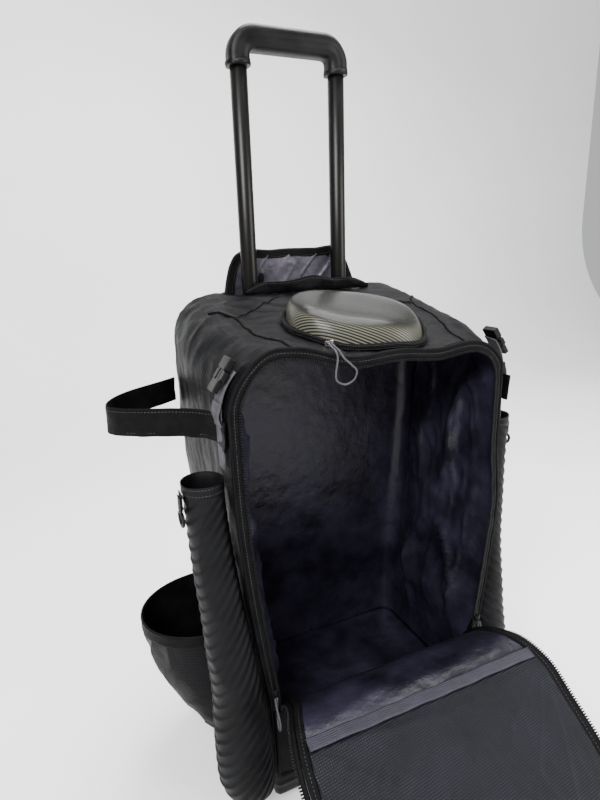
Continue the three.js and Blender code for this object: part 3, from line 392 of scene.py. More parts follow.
def linear(code):
    """An sRGB hex colour as linear red, green, blue and alpha."""
    value = np.array([int(code[k : k + 2], 16) for k in (1, 3, 5)]) / 255
    low = value / 12.92
    high = ((value + 0.055) / 1.055) ** 2.4
    return (*np.where(value <= 0.04045, low, high).tolist(), 1.0)


def add(tree, kind, inputs=None, **settings):
    """Adds one node. inputs maps a socket's name or number to a value, or to another
    node's output, which is then linked."""
    node = tree.nodes.new(kind)
    for key, value in settings.items():
        setattr(node, key, value)
    for key, value in (inputs or {}).items():
        if isinstance(value, bpy.types.NodeSocket):
            tree.links.new(value, node.inputs[key])
        else:
            node.inputs[key].default_value = value
    return node


def finish(name, shader, build):
    """A material: build(tree) returns the linked inputs of the shader, and shader holds
    the values that are the same all over."""
    material = bpy.data.materials.new(name)
    material.use_nodes = True
    tree = material.node_tree
    tree.nodes.clear()
    linked = build(tree)
    body = add(tree, "ShaderNodeBsdfPrincipled", {**shader, **linked})
    add(tree, "ShaderNodeOutputMaterial", {"Surface": body.outputs[0]})
    return material


def scaled(tree, size_mm, source="UV", turn=0.0):
    """Pattern coordinates that count one for each size_mm, optionally turned in the cloth."""
    place = add(tree, "ShaderNodeTexCoord").outputs[source]
    step = 1000.0 / np.asarray(size_mm, float) * np.ones(3)
    return add(
        tree,
        "ShaderNodeMapping",
        {"Vector": place, "Scale": tuple(step), "Rotation": (0, 0, turn)},
    ).outputs[0]


def ridges(tree, vector, axis="X", sharp=1.0):
    """Threads or ribs side by side: the size of a sine of one coordinate, 0 to 1."""
    value = add(tree, "ShaderNodeSeparateXYZ", {0: vector}).outputs[axis]
    turned = add(tree, "ShaderNodeMath", {0: value, 1: np.pi}, operation="MULTIPLY")
    sine = add(tree, "ShaderNodeMath", {0: turned.outputs[0]}, operation="SINE")
    size = add(tree, "ShaderNodeMath", {0: sine.outputs[0]}, operation="ABSOLUTE")
    return add(
        tree, "ShaderNodeMath", {0: size.outputs[0], 1: sharp}, operation="POWER"
    ).outputs[0]


def arithmetic(tree, operation, a, b, clamp=False):
    return add(
        tree, "ShaderNodeMath", {0: a, 1: b}, operation=operation, use_clamp=clamp
    ).outputs[0]


def between(tree, share, low, high):
    """A colour between two, by a share from 0 to 1."""
    return add(
        tree, "ShaderNodeMix", {0: share, 6: low, 7: high}, data_type="RGBA"
    ).outputs[2]


def spots(tree, size_mm, detail=3.0, source="Object", low=0.35, high=0.65):
    """Cloudy variation of about size_mm, spread to run from 0 to 1."""
    cloud = add(
        tree,
        "ShaderNodeTexNoise",
        {"Vector": scaled(tree, size_mm, source), "Scale": 1.0, "Detail": detail},
    ).outputs[0]
    return add(
        tree, "ShaderNodeMapRange", {0: cloud, 1: low, 2: high, 3: 0.0, 4: 1.0}
    ).outputs[0]


def bump(tree, height, distance_mm, strength=1.0, under=None):
    inputs = {"Height": height, "Distance": distance_mm * MM, "Strength": strength}
    if under is not None:
        inputs["Normal"] = under
    return add(tree, "ShaderNodeBump", inputs).outputs[0]


# %% [markdown]
# ### Cloths
#
# Ripstop nylon has a heavier thread every few millimetres, both ways, that stands up and
# catches the light. The satin lining is a filament weave with a strong sheen, so its folds
# flash. The net is a knitted mesh: black threads with small holes over the lining.

# %% Ripstop, satin, net and ribbed cloth
RIPSTOP_STEP = 5.5  # heavier threads; a fine ripstop has 5 mm
WEAVE_STEP = 1.6  # drawn coarser than the real 0.3 mm, which is too fine to show
NET_STEP = 2.9
TAPE_RIB = 1.4


def ripstop_nylon(tree):
    heavy = scaled(tree, RIPSTOP_STEP)
    grid = arithmetic(
        tree, "MAXIMUM", ridges(tree, heavy, "X", 14), ridges(tree, heavy, "Y", 14)
    )
    fine = scaled(tree, WEAVE_STEP)
    weave = arithmetic(
        tree, "MULTIPLY", ridges(tree, fine, "X", 0.7), ridges(tree, fine, "Y", 0.7)
    )
    height = arithmetic(tree, "MULTIPLY_ADD", grid, 0.6)
    height.node.inputs[2].default_value = 0.0
    both = arithmetic(tree, "ADD", height, arithmetic(tree, "MULTIPLY", weave, 0.35))
    wear = spots(tree, 46, 4)
    tone = arithmetic(tree, "MULTIPLY_ADD", grid, 0.35)
    tree.links.new(arithmetic(tree, "MULTIPLY", wear, 0.45), tone.node.inputs[2])
    rough = arithmetic(tree, "MULTIPLY_ADD", wear, 0.14)
    rough.node.inputs[2].default_value = 0.42
    crumple = bump(tree, spots(tree, 17, 5), 1.1, 0.35)
    return {
        "Base Color": between(tree, tone, linear("#050506"), linear("#131315")),
        "Roughness": rough,
        "Normal": bump(tree, both, 0.35, 0.8, crumple),
    }


# Ripstop nylon, calendered: black, a dull sheen, a raised square grid
ripstop = finish(
    "ripstop nylon, black",
    {"IOR": 1.53, "Specular IOR Level": 0.05},
    ripstop_nylon,
)


def satin_lining(tree):
    fine = scaled(tree, WEAVE_STEP)
    weave = ridges(tree, fine, "X", 0.6)
    drift = spots(tree, 60, 3)
    soft = bump(tree, spots(tree, 22, 4), 1.4, 0.5)
    rough = arithmetic(tree, "MULTIPLY_ADD", drift, 0.1)
    rough.node.inputs[2].default_value = 0.30
    return {
        "Base Color": between(tree, drift, linear("#0e0d15"), linear("#1f1d2a")),
        "Roughness": rough,
        "Normal": bump(tree, weave, 0.12, 0.5, soft),
    }


# Filament polyester satin, purple grey: bright along its folds, dark between them
satin = finish(
    "polyester satin, purple grey",
    {"IOR": 1.56, "Specular IOR Level": 0.2},
    satin_lining,
)


def hood_satin(tree):
    drift = spots(tree, 30, 3)
    soft = bump(tree, spots(tree, 16, 4), 1.4, 0.6)
    weave = ridges(tree, scaled(tree, WEAVE_STEP), "X", 0.6)
    return {
        # Painted light: these greys are the lining satin painted paler where the light falls on it
        "Base Color": between(tree, drift, linear("#26242b"), linear("#45414a")),
        "Normal": bump(tree, weave, 0.12, 0.5, soft),
    }


# The same satin painted a warmer, paler grey: a painted highlight where the light falls straight on
# it
satin_painted_lit = finish(
    "polyester satin, painted lit grey",
    {"IOR": 1.56, "Roughness": 0.4, "Specular IOR Level": 0.22},
    hood_satin,
)


def knitted_net(tree):
    cell = scaled(tree, NET_STEP, turn=0.12)
    hole = arithmetic(
        tree, "MULTIPLY", ridges(tree, cell, "X", 1.2), ridges(tree, cell, "Y", 1.2)
    )
    open_share = add(
        tree, "ShaderNodeMapRange", {0: hole, 1: 0.45, 2: 0.75, 3: 0.0, 4: 1.0}
    ).outputs[0]
    under = between(tree, spots(tree, 50, 3), linear("#0c0d1a"), linear("#1b1c2b"))
    thread = arithmetic(tree, "SUBTRACT", 1.0, hole)
    rough = arithmetic(tree, "MULTIPLY_ADD", open_share, -0.28)
    rough.node.inputs[2].default_value = 0.62
    return {
        "Base Color": between(tree, open_share, linear("#040405"), under),
        "Roughness": rough,
        "Normal": bump(tree, thread, 0.5, 0.8),
    }


# Knitted polyester net lying on navy satin: black threads, a small shiny square in each hole
net = finish("knitted net over satin", {"IOR": 1.55, "Specular IOR Level": 0.14}, knitted_net)


def stretch_cloth(tree):
    fine = scaled(tree, 1.7, turn=0.6)
    weave = arithmetic(
        tree, "MULTIPLY", ridges(tree, fine, "X", 0.8), ridges(tree, fine, "Y", 0.8)
    )
    wear = spots(tree, 40, 4)
    return {
        "Base Color": between(tree, wear, linear("#050506"), linear("#0e0e10")),
        "Roughness": arithmetic(
            tree, "ADD", arithmetic(tree, "MULTIPLY", wear, 0.12), 0.40
        ),
        "Normal": bump(tree, weave, 0.3, 0.7),
    }


# Embossed stretch polyester: matt black, a soft sheen on each rib
ribbed_cloth = finish(
    "embossed stretch polyester, black",
    {"IOR": 1.5, "Specular IOR Level": 0.08},
    stretch_cloth,
)


def woven_tape(dark, pale):
    """A narrow woven band: ribs across it, a little longer wear in its tone."""

    def build(tree):
        rib = ridges(tree, scaled(tree, TAPE_RIB), "Y", 0.8)
        cross = ridges(tree, scaled(tree, TAPE_RIB * 1.7), "X", 0.8)
        height = arithmetic(tree, "MULTIPLY", rib, cross)
        tone = arithmetic(
            tree, "MULTIPLY", arithmetic(tree, "ADD", height, spots(tree, 14, 3)), 0.5
        )
        return {
            "Base Color": between(tree, tone, linear(dark), linear(pale)),
            "Normal": bump(tree, height, 0.4, 0.8),
        }

    return build


# Woven polyester tape and binding: matt, with fine cross ribs
black_tape = finish(
    "woven polyester tape, black",
    {"IOR": 1.5, "Roughness": 0.55, "Specular IOR Level": 0.05},
    woven_tape("#040405", "#0f0f10"),
)
grey_webbing = finish(
    "woven polyester webbing, grey",
    {"IOR": 1.5, "Roughness": 0.65, "Specular IOR Level": 0.25},
    woven_tape("#29282c", "#4e4d53"),
)
plum_tape = finish(
    "satin binding, dark purple",
    {"IOR": 1.55, "Roughness": 0.42, "Specular IOR Level": 0.3},
    woven_tape("#12101a", "#242230"),
)
thread = finish(
    "twisted polyester thread, grey",
    {"IOR": 1.5, "Roughness": 0.6},
    lambda tree: {
        "Base Color": between(tree, spots(tree, 5, 2), linear("#1b1b1d"), linear("#3e3e40"))
    },
)
print("cloths:", ", ".join(m.name for m in (ripstop, satin, net, ribbed_cloth, black_tape)))

# %% [markdown]
# ### Hard finishes
#
# The handle's tubes are aluminium with satin black paint, the grip and the buckles are
# moulded plastic with a fine grain, and the dome pocket is a moulded sheet printed with a
# twill weave under a glossy coat. Rubber, nickel and the hidden tray finish the list.

# %% Plastic, paint, metal, rubber and the twill shell
TWILL_TOP, TWILL_SIDE = 3.4, 6.5  # tow spacing on the flat top, and down the steep side


def diagonal_tows(tree, size_mm, up_share):
    """Stripes across x and y, or down the side where up_share of the height is added."""
    parts = add(tree, "ShaderNodeSeparateXYZ", {0: scaled(tree, size_mm, "Object")})
    level = arithmetic(tree, "ADD", parts.outputs["X"], parts.outputs["Y"])
    rise = arithmetic(tree, "MULTIPLY", parts.outputs["Z"], up_share)
    run = arithmetic(tree, "MULTIPLY", arithmetic(tree, "ADD", level, rise), 2 * np.pi)
    wave = add(tree, "ShaderNodeMath", {0: run}, operation="SINE").outputs[0]
    return add(tree, "ShaderNodeMapRange", {0: wave, 1: -0.4, 2: 0.4}).outputs[0]


def twill(tree):
    upright = add(
        tree, "ShaderNodeSeparateXYZ", {0: add(tree, "ShaderNodeNewGeometry").outputs["Normal"]}
    ).outputs["Z"]
    flatness = add(tree, "ShaderNodeMapRange", {0: upright, 1: 0.55, 2: 0.8}).outputs[0]
    top = diagonal_tows(tree, TWILL_TOP, 0.0)
    side = diagonal_tows(tree, TWILL_SIDE, 1.4)
    band = add(tree, "ShaderNodeMix", {0: flatness, 2: side, 3: top}).outputs[0]
    # Painted highlight: tows on the steep side get a pale olive grey, those on the flat top a dark
    # one, by how upright the surface is
    pale = between(tree, flatness, linear("#55544a"), linear("#1c1c18"))
    rough = arithmetic(tree, "MULTIPLY_ADD", band, -0.12)
    rough.node.inputs[2].default_value = 0.34
    return {
        "Base Color": between(tree, band, linear("#0d0d0b"), pale),
        "Roughness": rough,
        "Normal": bump(tree, band, 0.2, 0.5),
    }


# Moulded EVA sheet with a printed twill film: olive-grey tows under a glossy coat; the steep side's
# tows are painted paler as a painted highlight
twill_shell = finish(
    "moulded sheet with twill film, painted side highlight",
    {"IOR": 1.5, "Specular IOR Level": 0.13, "Coat Weight": 0.02, "Coat Roughness": 0.2},
    twill,
)


def grained(dark, pale, rough, grain_mm=0.9, depth=0.12):
    """Moulded plastic: an even colour with faint wear, and a fine sandy grain."""

    def build(tree):
        wear = spots(tree, 25, 4)
        grain = spots(tree, grain_mm, 2)
        tone = arithmetic(tree, "MULTIPLY", wear, 0.8)
        varied = arithmetic(tree, "MULTIPLY_ADD", wear, 0.12)
        varied.node.inputs[2].default_value = rough
        return {
            "Base Color": between(tree, tone, linear(dark), linear(pale)),
            "Roughness": varied,
            "Normal": bump(tree, grain, depth, 0.6),
        }

    return build


# Injection-moulded polypropylene, black: soft highlights, a faint grain
moulded = finish(
    "moulded polypropylene, black",
    {"IOR": 1.49, "Specular IOR Level": 0.12},
    grained("#060606", "#0f0f0f", 0.34),
)
# The grip's plastic is a little greyer, rubbed smooth by hands
grip_plastic = finish(
    "moulded nylon grip, charcoal",
    {"IOR": 1.53, "Specular IOR Level": 0.12},
    grained("#070707", "#111110", 0.34),
)


def brushed_paint(tree):
    streak = add(
        tree,
        "ShaderNodeTexNoise",
        {"Vector": scaled(tree, (1.2, 1.2, 60), "Object"), "Scale": 1.0, "Detail": 3.0},
    ).outputs[0]
    rough = arithmetic(tree, "MULTIPLY_ADD", streak, 0.12)
    rough.node.inputs[2].default_value = 0.27
    return {
        "Base Color": between(tree, streak, linear("#080807"), linear("#141311")),
        "Roughness": rough,
        "Normal": bump(tree, streak, 0.05, 0.4),
    }


# Drawn aluminium tube, painted satin black: long soft highlights down its length
black_tube = finish(
    "drawn aluminium, satin black", {"Metallic": 0.3, "Specular IOR Level": 0.22}, brushed_paint
)


def plated(tree):
    wear = spots(tree, 6, 3)
    return {
        "Base Color": between(tree, wear, linear("#8f8c84"), linear("#d6d3cb")),
        "Roughness": arithmetic(tree, "ADD", arithmetic(tree, "MULTIPLY", wear, 0.15), 0.18),
    }


# Die-cast zinc with nickel plating: bright, slightly scuffed
nickel = finish("nickel-plated zinc", {"Metallic": 1.0}, plated)
rubber = finish(
    "moulded rubber, black",
    {"IOR": 1.52, "Specular IOR Level": 0.12},
    grained("#080808", "#121212", 0.6, 1.6, 0.3),
)
print("hard finishes ready")

# %% [markdown]
# ## Sizes and the bag's form
#
# The bag is an arch: a nearly flat top that climbs towards the back, round shoulders and
# straight sides drawn in towards the foot. The solids are made from the same sizes, so the
# cloth laid here follows them. Every surface below starts from these few functions.

# %% The arch, as the solids have it
BODY_WIDTH, BODY_DEPTH, FRONT = 410.0, 290.0, -30.0
BACK = FRONT + BODY_DEPTH
FRONT_TOP, BACK_TOP, SAG, BULGE = 650.0, 712.0, 8.0, 6.0
SHOULDER, BACK_CORNER, WALL, FOOT = 64.0, 34.0, 3.0, 60.0
LINING_BACK, LINING_CORNER, LINING_FLOOR, CLOTH_GAP = 216.0, 24.0, 64.0, 0.8
WIDTH_AT = [0, 0.25, 0.42, 0.58, 0.76, 1]
WIDTH_SHARE = [0.84, 0.855, 0.91, 0.955, 0.99, 1]
SHOULDER_START, SHOULDER_END, CORNER_START = 0.3, 0.46, 0.82


def mix(a, b, share):
    return a + (b - a) * share


def top_at(y):
    return mix(FRONT_TOP, BACK_TOP, (y - FRONT) / BODY_DEPTH)


def bulge_at(y):
    return BULGE * np.sin(np.pi * np.clip((y - FRONT) / BODY_DEPTH, 0, 1))


def side_x(y, z):
    """Half width of the bag: its table by share of the side's height, and a slight bulge."""
    share = (z - FOOT) / (top_at(y) - SHOULDER - FOOT)
    wide = BODY_WIDTH / 2 * through(WIDTH_AT, WIDTH_SHARE, share)
    return wide + bulge_at(y) * np.minimum(share + 0.2, 1)


def top_height(x, y):
    """Height of the top between the shoulders, hanging a little at the middle of its edge."""
    share = np.minimum(np.abs(x) / (BODY_WIDTH / 2 - SHOULDER), 1)
    forward = 1 - (y - FRONT) / BODY_DEPTH
    return top_at(y) - SAG * np.cos(share * np.pi / 2) ** 2 * forward**2


def arch(way, y, inset, foot=FOOT):
    """A point of the arch: way runs from -1 at the left foot over the top to 1, and inset
    moves it inwards. Flat top, then a quarter circle, then the side down to the foot."""
    way, y, inset = np.broadcast_arrays(*(np.asarray(v, float) for v in (way, y, inset)))
    part = np.abs(way)
    flat_half = BODY_WIDTH / 2 - SHOULDER
    shoulder_x = flat_half + bulge_at(y)
    shoulder_z = top_at(y) - SHOULDER
    share = np.clip(part / SHOULDER_START, 0, 1)
    turn = np.clip((part - SHOULDER_START) / (SHOULDER_END - SHOULDER_START), 0, 1) * np.pi / 2
    down = np.clip((part - SHOULDER_END) / (1 - SHOULDER_END), 0, 1)
    low = mix(shoulder_z, foot, down)
    radius = SHOULDER - inset
    on_top, on_turn = part <= SHOULDER_START, part <= SHOULDER_END
    x = np.where(
        on_top,
        share * shoulder_x,
        np.where(on_turn, shoulder_x + radius * np.sin(turn), side_x(y, low) - inset),
    )
    z = np.where(
        on_top,
        top_height(share * flat_half, y) - inset,
        np.where(on_turn, shoulder_z + radius * np.cos(turn), low),
    )
    return np.stack([np.where(way < 0, -1, 1) * x, y, z], -1)


def hull(way, depth, front, back, corner, inset, foot):
    """The arch carried back: straight to the corner, then a quarter circle inwards."""
    way, depth = np.meshgrid(way, depth)
    turn = np.clip((depth - CORNER_START) / (1 - CORNER_START), 0, 1) * np.pi / 2
    straight_end = back - corner
    y = np.where(
        depth <= CORNER_START,
        mix(front, straight_end, depth / CORNER_START),
        straight_end + corner * np.sin(turn),
    )
    return arch(way, y, inset + corner * (1 - np.cos(turn)), foot)


def even_ways(count):
    """Ways spaced evenly in millimetres round the arch, from the left foot to the right."""
    run = np.linspace(-1, 1, count)
    lengths = np.array([0, 141, 241, 771]) / 771
    return np.sign(run) * np.interp(np.abs(run), lengths, [0, SHOULDER_START, SHOULDER_END, 1])


def front_wave(points):
    """The opening's edge is not straight: the cloth there rises and sinks by a centimetre
    along the top, and is drawn in on the right. The shift fades over 75 mm to the back and
    towards the lower sides."""
    x, y, z = points[..., 0], points[..., 1], points[..., 2]
    near = 1 - ease(y, FRONT + 5, FRONT + 80)
    rise = through(
        [-205, -183, -161, -115, -56, 22, 84, 133, 165, 182, 205],
        [0, 3, 9, 9, -3, 0, -10, -8, -12, -14, -4],
        x,
    )
    moved = points.copy()
    moved[..., 2] += rise * near * ease(z, 560, 625)
    drawn = ease(x, 120, 195) * ease(z, 380, 500) * (1 - ease(z, 590, 650))
    moved[..., 0] -= 14 * drawn * near
    return moved


print("half width at the mouth:", float(side_x(FRONT, 500.0)), "top:", float(top_height(0, 0)))

# %% [markdown]
# ## The outer cloth
#
# On the real bag the top, the two sides and the back are panels of ripstop nylon over a
# thin foam, joined by piped seams. Four separate sheets could be made, but the panels meet
# edge to edge all round, so one sheet is bent over the arch and closed at the back, and the
# seams are laid on it as their own cords. Its wrinkles are waves of two sizes: long slack
# ones, and short sharp ones near the seams and under the straps.

# %% Outer cloth
MOUTH_HALF, MOUTH_START, MOUTH_DEPTH = 122.0, 215.6, 37.0
WHEEL_SPACING, WHEEL_Y, WHEEL_RADIUS, WHEEL_WIDTH = 302.0, 257.0, 38.0, 24.0
HOUSING_RADIUS, HOUSING_HALF = 45.0, 16.5


def shell_rows(ways):
    """Rows from the front edge to the back corner, then rings drawn in to the middle of
    the back's lower edge, so that one grid covers top, sides and back."""
    depth = np.concatenate([np.linspace(0, 0.82, 66), np.linspace(0.82, 1, 16)[1:]])
    around = hull(ways, depth, FRONT, BACK, BACK_CORNER, 0.0, FOOT)
    share = np.linspace(0, 1, 48)[1:, None, None]
    middle = np.array([0.0, BACK, FOOT])
    return np.concatenate([around, mix(around[-1], middle, share)])


def outer_wrinkles(points):
    """Height of the cloth's wrinkles, in millimetres."""
    x, y, z = points[..., 0], points[..., 1], points[..., 2]
    slack = waves(points, 120, 3, (1, 1, 1.8)) * 1.5
    fine = (folds(points, 46, 8, (1, 1, 1.5)) - 0.55) * 1.5
    on_top = ease(z, 600, 660)
    near_edge = 1 - ease(y, FRONT, FRONT + 70)
    creases = (folds(points, 24, 21, (0.7, 1.6, 1)) - 0.5) * (0.7 + 1.0 * on_top)
    return slack * (1 - 0.6 * near_edge) + fine + creases * (0.5 + 0.6 * near_edge)


ways = even_ways(209)
outer = shell_rows(ways)
facing = normals(outer)
facing *= np.sign((facing * (outer - [0, 110, 350])).sum(-1, keepdims=True))
hidden = ease(np.abs(outer[..., 2] - FOOT), 0, 25)[..., None]
outer = outer + facing * outer_wrinkles(outer)[..., None] * hidden
outer = front_wave(outer)
centre = (outer[:-1, :-1] + outer[1:, 1:]) / 2
in_mouth = (
    (np.abs(centre[..., 0]) < MOUTH_HALF)
    & (centre[..., 1] > MOUTH_START)
    & (centre[..., 1] < MOUTH_START + MOUTH_DEPTH)
    & (centre[..., 2] > 600)
)
from_axle = np.hypot(centre[..., 1] - WHEEL_Y, centre[..., 2] - WHEEL_RADIUS)
at_wheel = (np.abs(np.abs(centre[..., 0]) - WHEEL_SPACING / 2) < HOUSING_HALF + 2) & (
    from_axle < HOUSING_RADIUS + 2
)
outer_shell = surface("outer_shell", outer, keep=~(in_mouth | at_wheel), middle=(0, 110, 350))
thicken(outer_shell, WALL)
dress(outer_shell, ripstop, "top_panel", "side_panel_left", "side_panel_right", "back_panel")
print("outer shell:", len(outer_shell.data.polygons), "faces")

# %% [markdown]
# The lining is a loose bag of satin sewn in at the zip. It hangs away from the sides in
# long folds. It is one sheet like the outer cloth, pushed inwards by its folds only, so that
# it never comes through the outside.

# %% Lining
def lining_push(points):
    """How far the satin hangs inwards: most on the left wall, in crescent folds that run
    down and back, and less on the right and the top."""
    x, y, z = points[..., 0], points[..., 1], points[..., 2]
    inside = ease(y, FRONT + 4, FRONT + 50) * (1 - ease(y, 150, 205))
    left = ease(-x, 120, 175) * ease(z, 90, 220) * (1 - ease(z, 600, 660))
    right_wall = ease(x, 120, 175) * ease(z, 90, 220) * (1 - ease(z, 600, 660))
    overhead = ease(z, 600, 640) * (1 - ease(np.abs(x), 90, 170))
    long_folds = folds(points, 95, 31, (1, 1.2, 3.2)) ** 2
    short_folds = folds(points, 38, 40, (1, 1, 2.2)) ** 2
    body = left * 24 + right_wall * 8 + overhead * 6
    rough = (left + right_wall + 0.6 * overhead + 0.25) * (11 * long_folds + 4 * short_folds)
    floor = ease(z, LINING_FLOOR + 2, LINING_FLOOR + 30)
    return (body + rough) * inside * floor


depth = np.concatenate([np.linspace(0, 0.82, 70), np.linspace(0.82, 1, 10)[1:]])
lining_ways = even_ways(187)
walls = hull(lining_ways, depth, FRONT + WALL + CLOTH_GAP, LINING_BACK, LINING_CORNER,
             WALL + CLOTH_GAP, LINING_FLOOR)
back_share = np.linspace(0, 1, 44)[1:, None, None]
back_foot = np.array([0, LINING_BACK, LINING_FLOOR])
walls = np.concatenate([walls, mix(walls[-1], back_foot, back_share)])
toward_axis = np.stack([-walls[..., 0], 0 * walls[..., 0], 330 - walls[..., 2]], -1)
toward_axis[..., 2] *= ease(walls[..., 2], 560, 640)
toward_axis /= np.maximum(np.linalg.norm(toward_axis, axis=-1, keepdims=True), 1)
hung = walls + toward_axis * lining_push(walls)[..., None]
hung = front_wave(hung)
lining = surface("lining", hung, middle=(0, 110, 330))
thicken(lining, 1.2)
dress(lining, satin, "main_lining")
floor_x = np.linspace(-1, 1, 60)
floor_y = np.linspace(FRONT + 4, LINING_BACK, 50)
fx, fy = np.meshgrid(floor_x, floor_y)
floor_half = side_x(fy, LINING_FLOOR + 0 * fy) - 4
floor = np.stack([fx * floor_half, fy, 0 * fx + LINING_FLOOR + 1.4], -1)
floor[..., 2] += 1.5 * folds(floor, 60, 52) * (1 - np.abs(fx) ** 6) * ease(fy, -20, 10)
lining_floor = surface("lining_floor", floor, toward=(0, 0, 1))
thicken(lining_floor, 1.2)
dress(lining_floor, satin)
print("lining:", len(lining.data.polygons), "faces, hangs in by up to",
      round(float(np.abs(hung - walls).max()), 1), "mm")

# %% [markdown]
# ## The hanging flap
#
# The front panel is zipped down and hangs forward from its hinge: it stands up a little,
# bends over a crest and slopes to the ground. It is a thin foam between an outer ripstop
# and a satin inside, with a piped edge. It could be cloth-simulated from the hinge, but the
# photograph fixes its whole run, so the run is a smooth curve through a short table.

# %% Flap
FLAP_LENGTH, FLAP_HALF, FLAP_THICK, PIPING, FLAP_CORNER = 466.0, 190.0, 7.0, 3.2, 64.0
FLAP_AT = [0, 0.07, 0.15, 0.215, 0.3, 0.42, 0.54, 0.755, 0.93, 1]
FLAP_REACH = [0.008, 0.043, 0.109, 0.172, 0.254, 0.354, 0.454, 0.62, 0.745, 0.781]
FLAP_HEIGHT = [0.362, 0.418, 0.461, 0.474, 0.453, 0.387, 0.32, 0.186, 0.063, 0.011]
FLAP_SPREAD = [0.83, 0.84, 0.87, 0.93, 0.985, 1, 1, 1, 1, 1]


def flap_point(share, across, lift, inset=0.0):
    """A point at a share along the flap, half widths across, and a lift off its middle
    layer, square to its run. Its lower corners are rounded."""
    share, across, lift = np.broadcast_arrays(
        *(np.asarray(v, float) for v in (share, across, lift))
    )
    along = share * (1 - inset / FLAP_LENGTH)
    before, after = np.maximum(along - 0.03, 0), np.minimum(along + 0.03, 1)

    def reach(at):
        return FRONT - FLAP_LENGTH * through(FLAP_AT, FLAP_REACH, at)

    def height(at):
        return FLAP_LENGTH * through(FLAP_AT, FLAP_HEIGHT, at)

    slope = np.arctan2(height(after) - height(before), reach(before) - reach(after))
    radius = FLAP_CORNER - inset
    turn_in = np.maximum(radius - (1 - share) * (FLAP_LENGTH - inset), 0)
    corner = radius - np.sqrt(np.maximum(radius**2 - turn_in**2, 0))
    half = FLAP_HALF * through(FLAP_AT, FLAP_SPREAD, along) - corner - inset
    return np.stack(
        [across * half, reach(along) + lift * np.sin(slope), height(along) + lift * np.cos(slope)],
        -1,
    )


def flap_waves(share, across, points):
    """The panel's own buckling: long low waves, and creases across it at the crest."""
    at_crest = np.exp(-(((share - 0.2) / 0.12) ** 2))
    slack = waves(points, 150, 61, (1.4, 1, 1)) * 1.2
    creased = (folds(points, 42, 64, (2.4, 1, 1)) - 0.5) * (1 + 2.2 * at_crest)
    return (slack + creased) * (1 - np.abs(across) ** 8)


share, across = np.meshgrid(
    np.concatenate([np.linspace(0, 0.86, 74),
                    1 - 0.14 * np.cos(np.linspace(0, np.pi / 2, 26))[1:]]),
    np.sin(np.linspace(-np.pi / 2, np.pi / 2, 97)),
    indexing="ij",
)
plump = FLAP_THICK * mix(0.55, 1, np.sqrt(np.maximum(1 - across**2, 0)))
edge_inset = PIPING + 0.4
base_points = flap_point(share, across, 0.0, edge_inset)
ripple = flap_waves(share, across, base_points) * ease(share, 0, 0.06) * (1 - ease(share, 0.94, 1))
upper = flap_point(share, across, plump / 2 + ripple * 0.5, edge_inset)
under = flap_point(share, across, -plump / 2 + ripple * 0.5, edge_inset)
hinge_line = flap_point(share[:1], across[:1], 0.0, edge_inset)
tip_line = flap_point(share[-1:], across[-1:], 0.0, edge_inset)
both_faces = [np.concatenate([hinge_line, face, tip_line]) for face in (upper, under)]
around = np.concatenate([both_faces[0], both_faces[1][:, ::-1]], 1)
flap_panel = surface("flap_panel", around, ring=True)
dress(flap_panel, satin, "flap")
flap_panel.data.materials.append(ripstop)
facing_up = np.empty(3 * len(flap_panel.data.polygons))
flap_panel.data.polygons.foreach_get("normal", facing_up)
flap_panel.data.polygons.foreach_set(
    "material_index", (facing_up.reshape(-1, 3) @ [0, -0.3, 1] < 0).astype(int)
)
print("flap:", len(flap_panel.data.polygons), "faces; tip at", upper[-1, 48].round())

# %% [markdown]
# ## The bat sleeves
#
# Each side has a tall tube of embossed stretch cloth for a bat. The embossing is a sawtooth:
# ribs 16 mm apart that rise from the outer seam round the front, like the thread of a
# screw. It could be a bump map, but the ribs show on the outline, so they are in the
# surface. The mouth has a plain hem, and the inside is smooth.

# %% Bat sleeves
SLEEVE_MOUTH, SLEEVE_FOOT, SLEEVE_RADIUS, SLEEVE_WALL = 510.0, 58.0, 37.0, 2.5
RIB_HEIGHT, RIB_PITCH, SLEEVE_GAP = 1.8, 16.5, 2.0
RIB_RISE = (84.0, 54.0)  # climb of a rib from the outer side to the bag, at the foot and the mouth
SLEEVE_AT = [0, 0.09, 0.2, 0.38, 0.6, 0.82, 1]
SLEEVE_WIDE = [0.86, 0.98, 1, 0.86, 0.73, 0.67, 0.66]
SLEEVE_FORWARD = [0.85, 0.83, 0.74, 0.57, 0.28, 0.07, 0]
MOUTH_SETBACK, RIGHT_SHIFT = 28.0, 32.0  # the right sleeve hangs further back
HEM_HEIGHT = 13.0


def sleeve_middle(side, z):
    """Middle and radius of a sleeve at a height, with x as on the right."""
    share = np.clip((z - SLEEVE_FOOT) / (SLEEVE_MOUTH - SLEEVE_FOOT), 0, 1)
    radius = SLEEVE_RADIUS * through(SLEEVE_AT, SLEEVE_WIDE, share)
    y = FRONT + MOUTH_SETBACK - SLEEVE_RADIUS * through(SLEEVE_AT, SLEEVE_FORWARD, share)
    y = y + (RIGHT_SHIFT if side > 0 else 0.0)
    x = side_x(np.maximum(y, FRONT), np.maximum(z, FOOT)) + radius + RIB_HEIGHT + SLEEVE_GAP
    return x, y, radius


def sleeve_point(side, z, turn, grow, squeeze=1.0):
    """A point round the sleeve: turn 0 is the outer side, a quarter turn the front."""
    x, y, radius = sleeve_middle(side, z)
    radius = (radius + grow) * squeeze
    return np.stack(
        [side * (x + radius * np.cos(turn)), y - radius * np.sin(turn), z + 0 * turn], -1
    )


def rib_profile(z, turn):
    """Sawtooth of the ribs, 0 to 1: a slow climb and a sharp drop, along lines that rise
    from the outer seam round the front in an S."""
    swing = np.where(turn > np.pi, 2 * np.pi - turn, turn)
    climb = mix(*RIB_RISE, np.clip((z - SLEEVE_FOOT) / (SLEEVE_MOUTH - SLEEVE_FOOT), 0, 1))
    phase = (z - climb * 0.5 * (1 - np.cos(swing))) / RIB_PITCH % 1
    return phase**1.3 * (1 - ease(phase, 0.84, 1.0))


